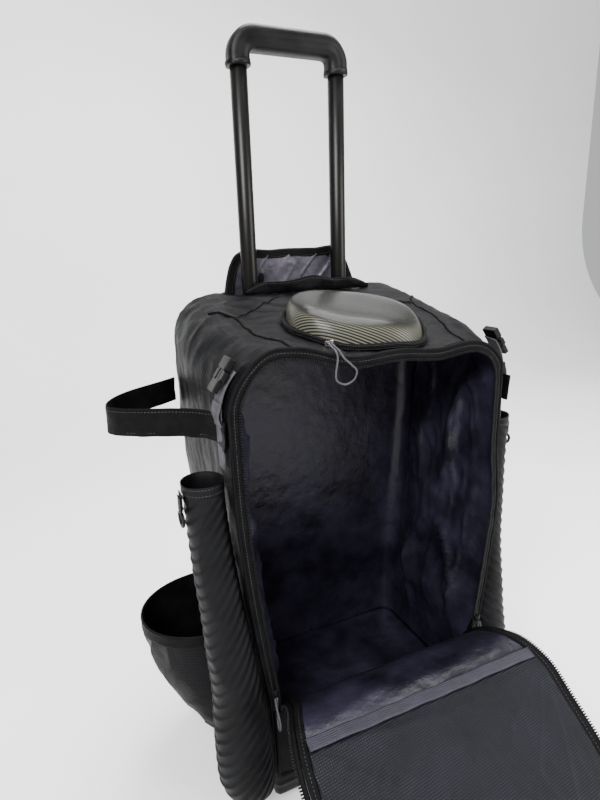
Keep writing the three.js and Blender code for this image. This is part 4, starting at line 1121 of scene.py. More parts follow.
def bat_sleeve(side):
    name = "bat_sleeve_left" if side < 0 else "bat_sleeve_right"
    turns = 2 * np.pi * np.arange(96) / 96
    cap = SLEEVE_RADIUS * 0.55
    squeeze = np.sin(np.linspace(0, np.pi / 2, 14))
    foot_z = SLEEVE_FOOT + cap * (1 - np.sqrt(1 - squeeze**2))
    z_up = np.linspace(SLEEVE_FOOT + cap, SLEEVE_MOUTH - HEM_HEIGHT, 205)[1:]
    z_hem = np.linspace(SLEEVE_MOUTH - HEM_HEIGHT, SLEEVE_MOUTH, 9)[1:]
    z_out = np.concatenate([foot_z, z_up, z_hem])
    squeezed = np.concatenate([squeeze, np.ones(len(z_up) + len(z_hem))])
    z, turn = np.meshgrid(z_out, turns, indexing="ij")
    fade = ease(z, SLEEVE_FOOT + 6, SLEEVE_FOOT + 40) * (
        1 - ease(z, SLEEVE_MOUTH - HEM_HEIGHT - 7, SLEEVE_MOUTH - HEM_HEIGHT)
    )
    against_bag = 1 - ease(np.abs(turn - np.pi), 0.35, 1.0)
    sag = folds(sleeve_point(side, z, turn, 0), 70, 70 + side, (1, 1, 2)) - 0.5
    hem = ease(z, SLEEVE_MOUTH - HEM_HEIGHT - 1, SLEEVE_MOUTH - HEM_HEIGHT + 1) * 1.3
    grow = rib_profile(z, turn) * RIB_HEIGHT * 1.6 * fade * (1 - 0.8 * against_bag)
    grow = grow + hem + 1.6 * sag * fade * (1 - against_bag)
    outside = sleeve_point(side, z, turn, grow, squeezed[:, None])
    z_in, turn_in = np.meshgrid(
        np.linspace(SLEEVE_MOUTH, SLEEVE_FOOT + cap + 2, 60), turns, indexing="ij"
    )
    rounded = -SLEEVE_WALL * ease(SLEEVE_MOUTH - z_in, -0.4, 1.5)
    shrink = rounded + 1.3 - ease(SLEEVE_MOUTH - z_in, 10, 16)
    inside = sleeve_point(side, z_in - 0.3, turn_in, shrink)
    back_down = squeeze[::-1]
    z_floor = SLEEVE_FOOT + SLEEVE_WALL + cap * (1 - np.sqrt(1 - back_down**2))
    z_low, turn_low = np.meshgrid(z_floor, turns, indexing="ij")
    floor = sleeve_point(side, z_low, turn_low, -SLEEVE_WALL, back_down[:, None])
    made = surface(name + "_cloth", np.concatenate([outside, inside, floor[1:]]), ring=True)
    return dress(made, ribbed_cloth, name)


for side in (-1, 1):
    made = bat_sleeve(side)
    print(made.name, len(made.data.polygons), "faces, mouth radius",
          round(float(sleeve_middle(side, SLEEVE_MOUTH)[2]), 1), "mm")

# %% [markdown]
# ## The dome pocket on the top
#
# A moulded shell stands on the top panel with a zip round its foot. Its outline is a squared
# ellipse and its side rises steeply to a round top, which is left bare. It
# could be a scaled sphere, but then its sides would be too soft, so the profile is a table.

# %% Dome
SHELL_WIDTH, SHELL_DEPTH, SHELL_HEIGHT, SHELL_X, SHELL_Y = 184.0, 142.0, 32.0, 3.0, 52.0
SHELL_POWER, SHELL_SKEW, SHELL_FALL = 0.8, -0.26, 0.22
SHELL_ZIP_HEIGHT, SHELL_ZIP_WIDTH = 7.0, 4.0
SHELL_AT = [0, 0.45, 0.75, 0.92, 0.985, 1.0, 1.0]
SHELL_SHARE = [1, 0.97, 0.9, 0.76, 0.56, 0.36, 0]


def shell_point(share, turn, lift, fall=0.0):
    """A point over the top panel: share of the outline's size, turn round it, and lift. The
    outline stands at a slant, and fall lowers its right end."""
    cos, sin = np.cos(turn), np.sin(turn)
    along = SHELL_WIDTH * share / 2 * np.sign(cos) * np.abs(cos) ** SHELL_POWER
    across = SHELL_DEPTH * share / 2 * np.sign(sin) * np.abs(sin) ** SHELL_POWER
    x = SHELL_X + along * np.cos(SHELL_SKEW) - across * np.sin(SHELL_SKEW)
    y = SHELL_Y + along * np.sin(SHELL_SKEW) + across * np.cos(SHELL_SKEW)
    lift = lift * (1 - fall * 2 * along / SHELL_WIDTH)
    return front_wave(np.stack([x, y, top_height(x, y) + CLOTH_GAP + lift], -1))


profile_run = np.linspace(0, 1, 44)
knots = np.linspace(0, 1, len(SHELL_AT))
profile_lift = through(knots, SHELL_AT, profile_run)
profile_share = through(knots, SHELL_SHARE, profile_run)
profile_share[-1] = 0.0
turns = 2 * np.pi * np.arange(128) / 128
lift, turn = np.meshgrid(profile_lift, turns, indexing="ij")
dome_share = np.broadcast_to(profile_share[:, None], lift.shape)
dome = shell_point(dome_share, turn, lift * SHELL_HEIGHT, SHELL_FALL)
shell_pocket = surface("dome_pocket", dome, ring=True, middle=(SHELL_X, SHELL_Y, 640))
thicken(shell_pocket, 2)
dress(shell_pocket, twill_shell, "shell_pocket")
print("dome top at", round(float(dome[..., 2].max()), 1), "mm")

# %% [markdown]
# ## The opening's edge
#
# A coil zip runs round the opening, with a piped seam outside it and a line of sewing. The
# zip is open, so only half of its teeth stand on this edge, and the other half run round the
# flap. The teeth could be a texture, but the camera is close, so each turn of the coil is a
# small bead of its own.

# %% Zip, piping and stitches round the opening
OPENING_ZIP_WIDTH, SEAM_GAP, TAPE = 13.0, 0.4, 2.0
SLIDER_Z = 204.0
zip_ways = even_ways(461)
zip_ways = zip_ways[np.abs(zip_ways) < 0.885]


def edge_line(inset, setback):
    """The line round the opening at a distance inside its edge, and in front of it."""
    return front_wave(arch(zip_ways, FRONT, inset) - [0, setback, 0])


tape_share = np.linspace(0, 1, 9)
curl = 1.2 * np.sin(tape_share * np.pi)
tape_grid = np.stack(
    [
        edge_line(-0.6 + s * OPENING_ZIP_WIDTH, SEAM_GAP + TAPE * (1.1 * s + 0.2) + c)
        for s, c in zip(tape_share, curl)
    ],
    1,
)
tape_grid[..., 1] += 0.5 * waves(tape_grid, 30, 77)
opening_tape = surface("opening_tape", tape_grid, toward=(0, -1, 0))
thicken(opening_tape, 1.2)
dress(opening_tape, black_tape, "opening_zip")
facing_front = np.array([0, -1.0, 0])
teeth("opening_teeth", tape_grid[:, -1] + [0, -1.2, 0], facing_front)
cord_tube("opening_piping", edge_line(0.4, 1.2), 2.3, black_tape)
stitches("opening_stitches", edge_line(5.2, 3.6), facing_front, 4.2, 2.6, 0.6)
print("opening edge:", round(path_length(tape_grid[:, 0])), "mm long")

# %% [markdown]
# The top panel is pieced from three cloths. Piped seams run back from the opening's corners,
# turn round the dome and meet the handle's hood. They are cords a little sunk in the cloth.

# %% Seams on the top panel
LEFT_SEAM = [(-124, -28), (-127, 2), (-132, 28), (-141, 66), (-144, 112), (-156, 138), (-170, 152)]
BACK_SEAM = [(-144, 114), (-112, 140), (-86, 164), (-60, 186), (-40, 198)]


def on_top(points, lift=0.6):
    """A smooth line over the top panel through (x, y) points."""
    flat = smooth_path([(x, y, 0.0) for x, y in points], 90)
    flat_half = BODY_WIDTH / 2 - SHOULDER
    shoulder = np.clip(np.abs(flat[:, 0]) - flat_half - bulge_at(flat[:, 1]), 0, 60)
    drop = SHOULDER - np.sqrt(SHOULDER**2 - shoulder**2)
    flat[:, 2] = top_height(flat[:, 0], flat[:, 1]) - drop + lift
    flat[:, 2] += outer_wrinkles(flat) * 0.9
    return front_wave(flat)


for side, word in ((1, "left"), (-1, "right")):
    for label, seam in (("front", LEFT_SEAM), ("back", BACK_SEAM)):
        path = on_top([(side * x, y) for x, y in seam])
        cord_tube(f"top_seam_{label}_{word}", path, 1.7, black_tape)
        beside = path + [side * 4.6, 0, 0.4]
        stitches(f"top_seam_stitches_{label}_{word}", beside, (0, 0, 1.0), 3.6, 2.4, 0.5)
print("top seams laid")

# %% [markdown]
# ## The lower front
#
# Below the opening a short stiff panel stands between the tray and the flap's hinge.

# %% Lower front panel
HINGE = 168.0
up, across = np.meshgrid(np.linspace(0, 1, 36), np.linspace(-1, 1, 90), indexing="ij")
low_z = mix(FOOT, HINGE, up)
half = side_x(FRONT, low_z) - WALL - SEAM_GAP
swell = BULGE * (1 - across**2) * np.sin(np.pi * (up + 0.3) / 1.6)
low_front = np.stack([across * half, FRONT - swell, low_z], -1)
low_front[..., 1] -= (folds(low_front, 60, 90, (1.6, 1, 1)) - 0.5) * 2.2 * (1 - across**6)
lower_front = surface("lower_front_cloth", low_front, toward=(0, -1, 0))
thicken(lower_front, WALL)
dress(lower_front, ripstop, "lower_front_panel")

# %% [markdown]
# ## The flap's edge and its net pocket
#
# A round piping goes round the flap, with the other half of the zip just inside it. A net
# pocket covers the lower two thirds of the inside. It is held by a purple hem at its top and
# pulled tight at its sides, so fans of straight folds run in from the corners.

# %% Flap piping, zip, net and hem
edge_share = np.concatenate(
    [np.linspace(0, 0.86, 150), 1 - 0.14 * np.cos(np.linspace(0, np.pi / 2, 60))[1:]]
)


def flap_edge(inset, lift):
    """The line round the flap from the hinge's left end to its right end."""
    left = flap_point(edge_share, -1.0, lift, inset)
    tip = flap_point(np.ones(60), np.linspace(-1, 1, 62)[1:-1], lift, inset)
    return np.concatenate([left, tip, flap_point(edge_share, 1.0, lift, inset)[::-1]])


flap_up = np.array([0, -0.55, 1.0])
piping_path = flap_edge(0.0, 0.0)
piping_path = smooth_path(piping_path[::3], 420)
cord_tube("flap_piping", piping_path, PIPING, black_tape, "flap_binding", across=flap_up)
trim_path = smooth_path(flap_edge(8.5, FLAP_THICK / 2 + 0.4)[::3], 420)
trim_across = np.cross(np.gradient(trim_path, axis=0), flap_up)
ribbon("flap_edge_tape", trim_path, trim_across, 11, 1.2, black_tape)
stitches("flap_edge_stitches", trim_path + flap_up * 0.5, flap_up, 4.2, 2.6, 0.6)
teeth("flap_teeth", smooth_path(flap_edge(-PIPING - 1.4, 0.6)[::3], 420), flap_up)

NET_START, NET_END, NET_INSET, NET_LIFT = 0.27, 0.93, 14.0, 1.1
HEM_WIDTH, HEM_THICK = 15.0, 2.0
net_share, net_across = np.meshgrid(
    np.linspace(NET_START + HEM_WIDTH / FLAP_LENGTH, NET_END, 100),
    np.linspace(-1, 1, 127),
    indexing="ij",
)
net_flat = flap_point(net_share, net_across, FLAP_THICK / 2 + NET_LIFT + 0.6, NET_INSET)


def net_folds(points):
    """Straight folds that fan out from the two ends of the hem and from the lower corners:
    sharp waves of the angle about each corner, fading away from it."""
    height = np.zeros(points.shape[:2])
    for x, y, many, reach, size in (
        (-180, -150, 17, 260, 2.2),
        (178, -150, 19, 240, 2.0),
        (-150, -385, 15, 190, 1.4),
        (150, -385, 15, 190, 1.4),
        (0, -150, 13, 200, 1.1),
    ):
        dx, dy = points[..., 0] - x, points[..., 1] - y
        distance = np.hypot(dx, dy)
        fan = 1 - np.abs(np.sin(np.arctan2(dy, dx) * many / 2 + distance / 240))
        height += size * fan**2 * np.exp(-((distance / reach) ** 2)) * ease(distance, 5, 50)
    return height


net_rim = (1 - np.abs(net_across) ** 10) * ease(net_share, NET_START, NET_START + 0.06)
net_height = (net_folds(net_flat) + (folds(net_flat, 30, 95) - 0.5) * 0.7) * net_rim * (
    1 - ease(net_share, 0.87, 0.93)
)
net_sheet = flap_point(
    net_share, net_across, FLAP_THICK / 2 + NET_LIFT + 0.6 + net_height, NET_INSET
)
flap_net = surface("net_pocket", net_sheet, toward=(0, -0.5, 1))
thicken(flap_net, 1.0)
dress(flap_net, net, "flap_net")
hem_share = NET_START + HEM_WIDTH / 2 / FLAP_LENGTH
hem_lift = FLAP_THICK / 2 + NET_LIFT + HEM_THICK / 2 + 0.4
hem_path = flap_point(hem_share, np.linspace(-1, 1, 90), hem_lift, NET_INSET)
hem_path[:, 2] += 0.6 * waves(hem_path, 45, 99)
down_flap = flap_point(hem_share + 0.02, 0, 0) - flap_point(hem_share - 0.02, 0, 0)
net_hem = ribbon(
    "net_hem", hem_path, down_flap, HEM_WIDTH, HEM_THICK, plum_tape, "net_binding"
)
for shift in (-5.4, 5.4):
    line = hem_path + shift * down_flap / np.linalg.norm(down_flap) + flap_up * 0.9
    stitches(f"hem_stitches_{'upper' if shift < 0 else 'lower'}", line, flap_up, 3.8, 2.5, 0.5)

# %% [markdown]
# ## Side pockets
#
# A bellows pocket stands out from the foot of each side, open at the top. It is one sheet of
# nylon whose reach grows from its foot to its hem. The hem is a folded band with two lines
# of sewing.

# %% Side pockets
POCKET_MOUTH, POCKET_FOOT, POCKET_REACH, POCKET_HALF, POCKET_Y = 238.0, 26.0, 124.0, 86.0, 156.0
POCKET_AT = [0, 0.03, 0.12, 0.3, 0.6, 0.85, 1]
POCKET_SHARE = [0.06, 0.36, 0.56, 0.74, 0.93, 1, 1]
TRAY_OVERHANG = 1.0


def pocket_point(side, up, turn, grow=0.0):
    """A point of a pocket: up its height, and round from its front edge to its back edge."""
    z = mix(POCKET_FOOT, POCKET_MOUTH, up)
    reach = POCKET_REACH * through(POCKET_AT, POCKET_SHARE, up) + grow
    y = POCKET_Y - POCKET_HALF * mix(0.8, 1, up) * np.cos(turn)
    wall = side_x(np.minimum(y, BACK), np.maximum(z, FOOT)) + TRAY_OVERHANG + CLOTH_GAP
    return np.stack([side * (wall + reach * np.sin(turn) ** 0.8), y, z], -1)


for side, word in ((-1, "left"), (1, "right")):
    up, turn = np.meshgrid(np.linspace(0, 1, 60), np.linspace(0.0, np.pi, 90), indexing="ij")
    flat = pocket_point(side, up, turn)
    slack = (folds(flat, 55, 110 + side, (1, 1, 1.6)) - 0.55) * 4.2 + waves(flat, 90, 112) * 1.6
    pocket = pocket_point(side, up, turn, slack * np.sin(turn) * ease(1 - up, 0, 0.12) - 0.5)
    made = surface(f"side_pocket_{word}_cloth", pocket, middle=(0, POCKET_Y, 120))
    thicken(made, 1.6)
    dress(made, ripstop, f"side_pocket_{word}")
    hem_turn = np.linspace(0.02, np.pi - 0.02, 120)
    hem = pocket_point(side, np.full(120, 0.955), hem_turn, 0.4)
    ribbon(f"side_pocket_hem_{word}", hem, (0, 0, 1.0), 19, 2.6, black_tape)
    away = hem - [0, POCKET_Y, 0]
    away[:, 2] = 0
    for low in (-6.5, 6.5):
        line = hem + [0, 0, low] + 1.3 * away / np.linalg.norm(away, axis=1)[:, None]
        row = "low" if low < 0 else "high"
        stitches(f"side_pocket_stitches_{word}_{row}", line, away, 4.2, 2.8, 0.6)
print("side pockets reach", round(float(np.abs(pocket[..., 0]).max())), "mm from the middle")

# %% [markdown]
# ## Straps on the sides
#
# A wide black strap bows out from each side, where it holds a leg guard, and a grey webbing
# strap with a side-release buckle comes over each shoulder to hold a bat. They are flat
# bands along a path, with a folded and sewn end. The buckle is a case with two spring prongs.

# %% Guard straps, bat straps and buckles
GUARD_AT = [0, 0.2, 0.3, 0.42, 0.52, 0.68, 0.82, 0.94, 1]
GUARD_REACH = [0, 0.01, 0.26, 0.74, 0.98, 0.99, 0.7, 0.2, 0]
GUARD_Z, STRAP_THICK = FRONT_TOP - 84, 1.8
STRAP_Y, STRAP_TOP, STRAP_WIDE = FRONT + 26, FRONT_TOP - 14, 25.0
STRAP_FOOT = STRAP_TOP - 116
TOP_SLOPE = (BACK_TOP - FRONT_TOP) / BODY_DEPTH


def on_side(side, y, z, off):
    """A place on the side or the round shoulder at a height, pushed off along its normal."""
    y, z = np.broadcast_arrays(np.asarray(y, float), np.asarray(z, float))
    low = top_at(y) - SHOULDER
    turn = np.arcsin(np.clip((z - low) / SHOULDER, 0, 1))
    out = np.stack([side * np.cos(turn), 0 * turn, np.sin(turn)], -1)
    flank = np.stack([side * (side_x(y, z) + off), y, z], -1)
    centre_x = BODY_WIDTH / 2 - SHOULDER + bulge_at(y)
    shoulder = np.stack([side * centre_x, y, low], -1) + out * (SHOULDER + off)
    return np.where((z <= low)[..., None], flank, shoulder), out


def plate(name, outline, thickness, frame4, bevel, material, *nodes, body="bag"):
    """A moulded plate: an outline with its thickness, rounded edges, put in its place by
    three directions and an origin."""
    outline = np.asarray(outline, float)
    count = len(outline)
    points = np.concatenate(
        [np.column_stack([outline, np.full(count, level)]) for level in (0.0, thickness)]
    )
    placed = points @ np.asarray(frame4[:3]) + frame4[3]
    mesh = bpy.data.meshes.new(name)
    sides = [[k, (k + 1) % count, (k + 1) % count + count, k + count] for k in range(count)]
    faces = [list(range(count))[::-1], [k + count for k in range(count)], *sides]
    mesh.from_pydata((placed * MM).tolist(), [], faces)
    fixed = bmesh.new()
    fixed.from_mesh(mesh)
    bmesh.ops.recalc_face_normals(fixed, faces=fixed.faces)
    fixed.to_mesh(mesh)
    fixed.free()
    mesh.polygons.foreach_set("use_smooth", np.ones(len(mesh.polygons), bool))
    made = bpy.data.objects.new(name, mesh)
    bpy.context.collection.objects.link(made)
    rounded = made.modifiers.new("rounded edges", "BEVEL")
    rounded.width = bevel * MM
    rounded.segments = 3
    rounded.limit_method = "ANGLE"
    rounded.harden_normals = True
    return dress(made, material, *nodes, body=body)


BUCKLE = np.array([22.0, 15.0])
BUCKLE_THICK, BUCKLE_DROP, BUCKLE_LIFT = 9.0, 8.0, 1.9
case = [(-1, -0.8), (-0.3, -0.8), (-0.3, 0.8), (-1, 0.8)]
tongue = [(0.32, -0.75), (1, -0.75), (1, 0.75), (0.32, 0.75)]
for side, word in ((-1, "left"), (1, "right")):
    share = np.linspace(0, 1, 90)
    y = FRONT + WALL + share * (BODY_DEPTH - BACK_CORNER - WALL)
    reach = 102.0 * through(GUARD_AT, GUARD_REACH, share)
    off = CLOTH_GAP + STRAP_THICK * 2.2 + reach
    path = np.stack([side * (side_x(y, GUARD_Z + 0 * y) + off), y, GUARD_Z + 0 * y], -1)
    path[:, 2] += 1.5 * np.sin(share * 9 + side)
    guard = sweep(path, rounded_band(36.0, STRAP_THICK), (0.05, 0, 1.0))
    guard += 0.5 * waves(guard, 24, 130)[..., None] * [1, 0.3, 0.3]
    made = surface(f"guard_strap_{word}_band", capped(guard), ring=True)
    dress(made, black_tape, f"guard_strap_{word}")
    for low in (-13.5, 13.5):
        out = np.cross(np.gradient(path, axis=0), [0, 0, side * 1.0])
        line = path + [0, 0, low] + 1.0 * out / np.linalg.norm(out, axis=1)[:, None]
        stitches(f"guard_stitches_{word}_{'low' if low < 0 else 'high'}", line, out, 4.4, 2.8, 0.6)

    z = mix(STRAP_FOOT, STRAP_TOP, np.sqrt(np.linspace(0, 1, 60)))
    path, out = on_side(side, STRAP_Y, z, CLOTH_GAP + STRAP_THICK / 2 + 0.6)
    path[:, 1] += 1.2 * np.sin(np.linspace(0, 5, 60))
    ribbon(f"bat_strap_{word}_band", path, (0, 1.0, TOP_SLOPE), STRAP_WIDE, STRAP_THICK,
           grey_webbing,
           f"bat_strap_{word}")
    fold, out_fold = on_side(side, STRAP_Y - 2, np.linspace(STRAP_TOP - 34, STRAP_TOP - 62, 24),
                             CLOTH_GAP + STRAP_THICK * 2.2)
    fold += out_fold * (2.5 * np.sin(np.linspace(0, np.pi, 24)) ** 2)[:, None]
    ribbon(f"bat_strap_{word}_tail", fold, (0.05 * side, 1.0, TOP_SLOPE), STRAP_WIDE - 1,
           STRAP_THICK,
           grey_webbing)
    seat_off = CLOTH_GAP + STRAP_THICK + BUCKLE_LIFT
    seat, out = on_side(side, STRAP_Y, STRAP_TOP - BUCKLE_DROP, seat_off)
    across_strap = np.array([0, side * 1.0, 0])
    along = np.cross(across_strap, out)
    basis = [along, across_strap, out, seat]
    plate(f"buckle_case_{word}", np.array(case) * BUCKLE, BUCKLE_THICK, basis, 1.6, moulded,
          f"bat_buckle_{word}")
    plate(f"buckle_tongue_{word}", np.array(tongue) * BUCKLE, BUCKLE_THICK - 2,
          [*basis[:3], seat + out], 1.4, moulded)
    for wing in (-1, 1):
        prong = [(-0.34, 0.62), (-0.2, 0.98), (0.22, 0.98), (0.36, 0.7), (0.36, 0.36),
                 (-0.34, 0.36)]
        plate(f"buckle_prong_{word}_{'front' if wing < 0 else 'back'}",
              np.array(prong) * BUCKLE * [1, wing],
              BUCKLE_THICK - 3, [*basis[:3], seat + 1.5 * out], 1.1, moulded)
    spine = [(-0.34, -0.22), (0.36, -0.22), (0.36, 0.22), (-0.34, 0.22)]
    plate(f"buckle_spine_{word}", np.array(spine) * BUCKLE, BUCKLE_THICK - 4,
          [*basis[:3], seat + 2 * out],
          0.9, moulded)
print("straps and buckles on both sides")

# %% [markdown]
# A small folded tab at the outer side of each sleeve's mouth holds a D-ring.

# %% Sleeve hems, tabs and rings
RING_RADIUS, RING_WIRE, TAB_DROP, TAB_THICK = 11.0, 2.0, 22.0, 3.0
for side, word in ((-1, "left"), (1, "right")):
    hem_turn = np.linspace(0, 2 * np.pi, 161)
    for low in (3.0, 10.5):
        z = np.full(161, SLEEVE_MOUTH - low)
        line = sleeve_point(side, z, hem_turn, 1.5)
        centre_x, centre_y, _ = sleeve_middle(side, SLEEVE_MOUTH - low)
        away = line - [side * centre_x, centre_y, SLEEVE_MOUTH - low]
        stitches(f"sleeve_stitches_{word}_{'top' if low < 5 else 'low'}", line, away, 4.0, 2.7, 0.6)
    z = SLEEVE_MOUTH - TAB_DROP
    middle_x, middle_y, radius = (float(v) for v in sleeve_middle(side, z))
    near = middle_x + radius + RIB_HEIGHT + CLOTH_GAP
    tab_z = np.concatenate([np.linspace(z + 12, z - 12, 24), np.linspace(z - 12, z + 12, 24)])
    bend = np.concatenate([np.zeros(24), np.full(24, TAB_THICK - 1.2)])
    tab = np.stack([side * (near + 0.6 + bend), np.full(48, middle_y), tab_z], -1)
    tab = smooth_path(tab[::6], 60)
    ribbon(f"ring_tab_{word}", tab, (0, 1.0, 0), 16, 1.2, black_tape, f"ring_{word}")
    ring_turn = np.linspace(0, 2 * np.pi, 49)[:-1]
    squash_low = np.where(np.sin(ring_turn) > 0, 0.55, 1.0)
    ring = np.stack(
        [
            np.full(48, side * (near + TAB_THICK / 2)),
            middle_y + RING_RADIUS * np.cos(ring_turn),
            z - 12 - RING_RADIUS * 0.7 + RING_RADIUS * np.sin(ring_turn) * squash_low,
        ],
        -1,
    )
    cord_tube(f"ring_wire_{word}", ring, RING_WIRE, moulded, closed=True, across=(1.0, 0, 0))
print("tabs and rings at", round(near), "mm")

# %% [markdown]
# ## The dome's zip
#
# A band of tape with a closed coil runs round the dome's foot, and its nickel slider stands
# at the front left. Both rows of the coil are meshed here, so they are drawn as one row of
# beads round the band.

# %% Dome zip and slider
ring_turns = 2 * np.pi * np.arange(220) / 220
ZIP_INNER = 1 + 2 * SEAM_GAP / SHELL_DEPTH
ZIP_OUTER = ZIP_INNER + 2 * SHELL_ZIP_WIDTH / SHELL_DEPTH
profile = [
    (ZIP_INNER, 0.2), (ZIP_OUTER - 0.008, 0), (ZIP_OUTER, 0.8), (ZIP_OUTER - 0.004, 2.9),
    (ZIP_OUTER - 0.018, 3.5), (ZIP_OUTER - 0.004, 4.1), (ZIP_OUTER, 6.3),
    (ZIP_OUTER - 0.012, SHELL_ZIP_HEIGHT), (ZIP_INNER, SHELL_ZIP_HEIGHT - 0.4),
]
band = np.stack([shell_point(share, ring_turns, lift) for share, lift in profile])
dome_zip = surface("dome_zip", band, ring=True, loop=True)
dress(dome_zip, black_tape, "shell_zip")
coil_path = shell_point(ZIP_OUTER - 0.006, ring_turns, 3.5)
coil_path = smooth_path(coil_path, 300, closed=True)
outward = coil_path - [SHELL_X, SHELL_Y, 0]
outward[:, 2] = 0
teeth("dome_teeth", coil_path, outward, across=2.6, pitch=2.2)
for lift, word in ((1.4, "low"), (5.8, "high")):
    line = smooth_path(shell_point(ZIP_OUTER + 0.002, ring_turns, lift), 300, closed=True)
    stitches(f"dome_stitches_{word}", line, outward, 3.4, 2.2, 0.5)

SLIDER = np.array([12.0, 9.0, 4.0])
SLIDER_TURN = 1.36 * np.pi
SLIDER_FACING = SLIDER_TURN + SHELL_SKEW


def plain_shell_point(share, turn, lift):
    """The dome's place on the solids, whose top panel has no waves at its edge."""
    point = shell_point(share, np.array(turn), lift)
    return point - (front_wave(point) - point)


def zip_slider(name, middle, along, out, length, material, *nodes):
    """A slider: a rounded plate pinched in the middle, with a bridge that holds the pull."""
    along, out = np.asarray(along, float), np.asarray(out, float)
    side = np.cross(out, along)
    half, wide = length / 2, SLIDER[1] / 2
    outline = [
        (-half, 0.55 * wide), (-half * 0.9, 0.72 * wide), (-0.1 * half, 0.8 * wide),
        (0.5 * half, wide),
        (0.9 * half, 0.98 * wide), (half, 0.7 * wide), (half * 0.82, 0), (half, -0.7 * wide),
        (0.9 * half, -0.98 * wide), (0.5 * half, -wide), (-0.1 * half, -0.8 * wide),
        (-half * 0.9, -0.72 * wide), (-half, -0.55 * wide),
    ]
    base = middle - out * SLIDER[2] / 2
    plate(name, outline, SLIDER[2] * 0.62, [along, side, out, base], 0.7, material, *nodes)
    arc = np.linspace(0, np.pi, 15)
    bridge = (
        middle
        + out * (SLIDER[2] * 0.1 + 2.0 * np.sin(arc)[:, None])
        - along * (0.62 * half * np.cos(arc))[:, None]
    )
    ribbon(name + "_bridge", bridge, side, 2.6, 1.0, material)


slider_place = shell_point(ZIP_OUTER, np.array(SLIDER_TURN), SHELL_ZIP_HEIGHT / 2)
slider_out = np.array([np.cos(SLIDER_FACING), np.sin(SLIDER_FACING), 0.0])
slider_along = np.array([-slider_out[1], slider_out[0], 0.0])
slider_place = slider_place + slider_out * (SLIDER[2] / 2 + CLOTH_GAP - 0.6)
zip_slider("dome_slider", slider_place, slider_along, slider_out, 11.0, nickel, "shell_slider")
print("dome slider at", slider_place.round(1))

# %% [markdown]
# ## Hood and lip of the handle's compartment
#
# Behind the tubes stands a rounded hood of nylon with a satin inside painted pale as painted light,
# and a black binding round its edge. In front of them lies a padded lip, which is the cover's other
# part, with its left end folded over and its own zip at the right.

# %% Hood
HOOD_HALF, HOOD_FOOT, HOOD_TOP, HOOD_THICK = 118.0, 696.8, 767.0, 3.0
HOOD_WING, HOOD_STRAIGHT, HOOD_BINDING = 16.0, 94.0, (14.0, 4.5)
HOOD_AT, HOOD_SHARE = [0, 0.4, 0.75, 0.92, 1], [1, 0.935, 0.85, 0.76, 0.6]
HOOD_Y = MOUTH_START + MOUTH_DEPTH + WALL


def hood_point(x, up, lift):
    """A point of the hood: level across, up its height, and lift towards the tubes. Its two
    ends curve forward."""
    x, up, lift = np.broadcast_arrays(*(np.asarray(v, float) for v in (x, up, lift)))
    wing = np.maximum(np.abs(x) - HOOD_STRAIGHT, 0) / (HOOD_HALF - HOOD_STRAIGHT)
    return np.stack([x, HOOD_Y - HOOD_WING * wing**2 - lift, mix(HOOD_FOOT, HOOD_TOP, up)], -1)


up, across = np.meshgrid(np.linspace(0, 0.965, 40), np.linspace(-1, 1, 100), indexing="ij")
half = HOOD_HALF * through(HOOD_AT, HOOD_SHARE, up) - 5
flat = hood_point(across * half, up, 0.0)
slant = flat @ np.array([[1.0, 0, 0], [0, 1.0, 0], [-0.9, 0, 1.0]])
pucker = np.maximum(folds(slant, 62, 140, (0.7, 1, 2.2)), 0) ** 2 * 3.2
pucker += folds(flat, 30, 141, (1, 1, 2)) * 0.5
rim = (1 - np.abs(across) ** 10) * ease(up, 0, 0.08) * (1 - ease(up, 0.85, 0.96))
front_of_hood = hood_point(across * half, up, 1.4 + pucker * rim)
back_of_hood = hood_point(across * half, up, -0.6 + 0.8 * waves(flat, 40, 142) * rim)
hood_inside = surface("hood_inside", front_of_hood, toward=(0, -1, 0))
thicken(hood_inside, 0.6)
dress(hood_inside, satin_painted_lit, "hood")
hood_outside = surface("hood_outside", back_of_hood, toward=(0, 1, 0))
thicken(hood_outside, 1.0)
dress(hood_outside, ripstop)
rise = np.linspace(0.01, 0.86, 40)
edge_x = HOOD_HALF * through(HOOD_AT, HOOD_SHARE, rise) - HOOD_BINDING[0] / 2
left_side = hood_point(-edge_x, rise, HOOD_THICK / 2)
top_half = HOOD_HALF * 0.6 - HOOD_BINDING[0] / 2
over_up = 1 - 7 / (HOOD_TOP - HOOD_FOOT)
over = hood_point(np.linspace(-0.9, 0.9, 30) * top_half, over_up, HOOD_THICK / 2)
right_side = hood_point(edge_x, rise, HOOD_THICK / 2)[::-1]
binding_path = smooth_path(np.concatenate([left_side[::4], over[::5], right_side[::4]]), 220)
binding_path[:, 2] += 0.8 * waves(binding_path, 50, 143)
in_plane = np.cross(np.gradient(binding_path, axis=0), [0, 1.0, 0])
ribbon("hood_edge", binding_path, in_plane, *HOOD_BINDING, black_tape, "hood_binding")
unit_in = in_plane / np.linalg.norm(in_plane, axis=1)[:, None]
for shift, word in ((-5.0, "outer"), (5.0, "inner")):
    line = binding_path + unit_in * shift - [0, 2.2, 0]
    stitches(f"hood_stitches_{word}", line, (0, -1.0, 0), 4.0, 2.6, 0.55)

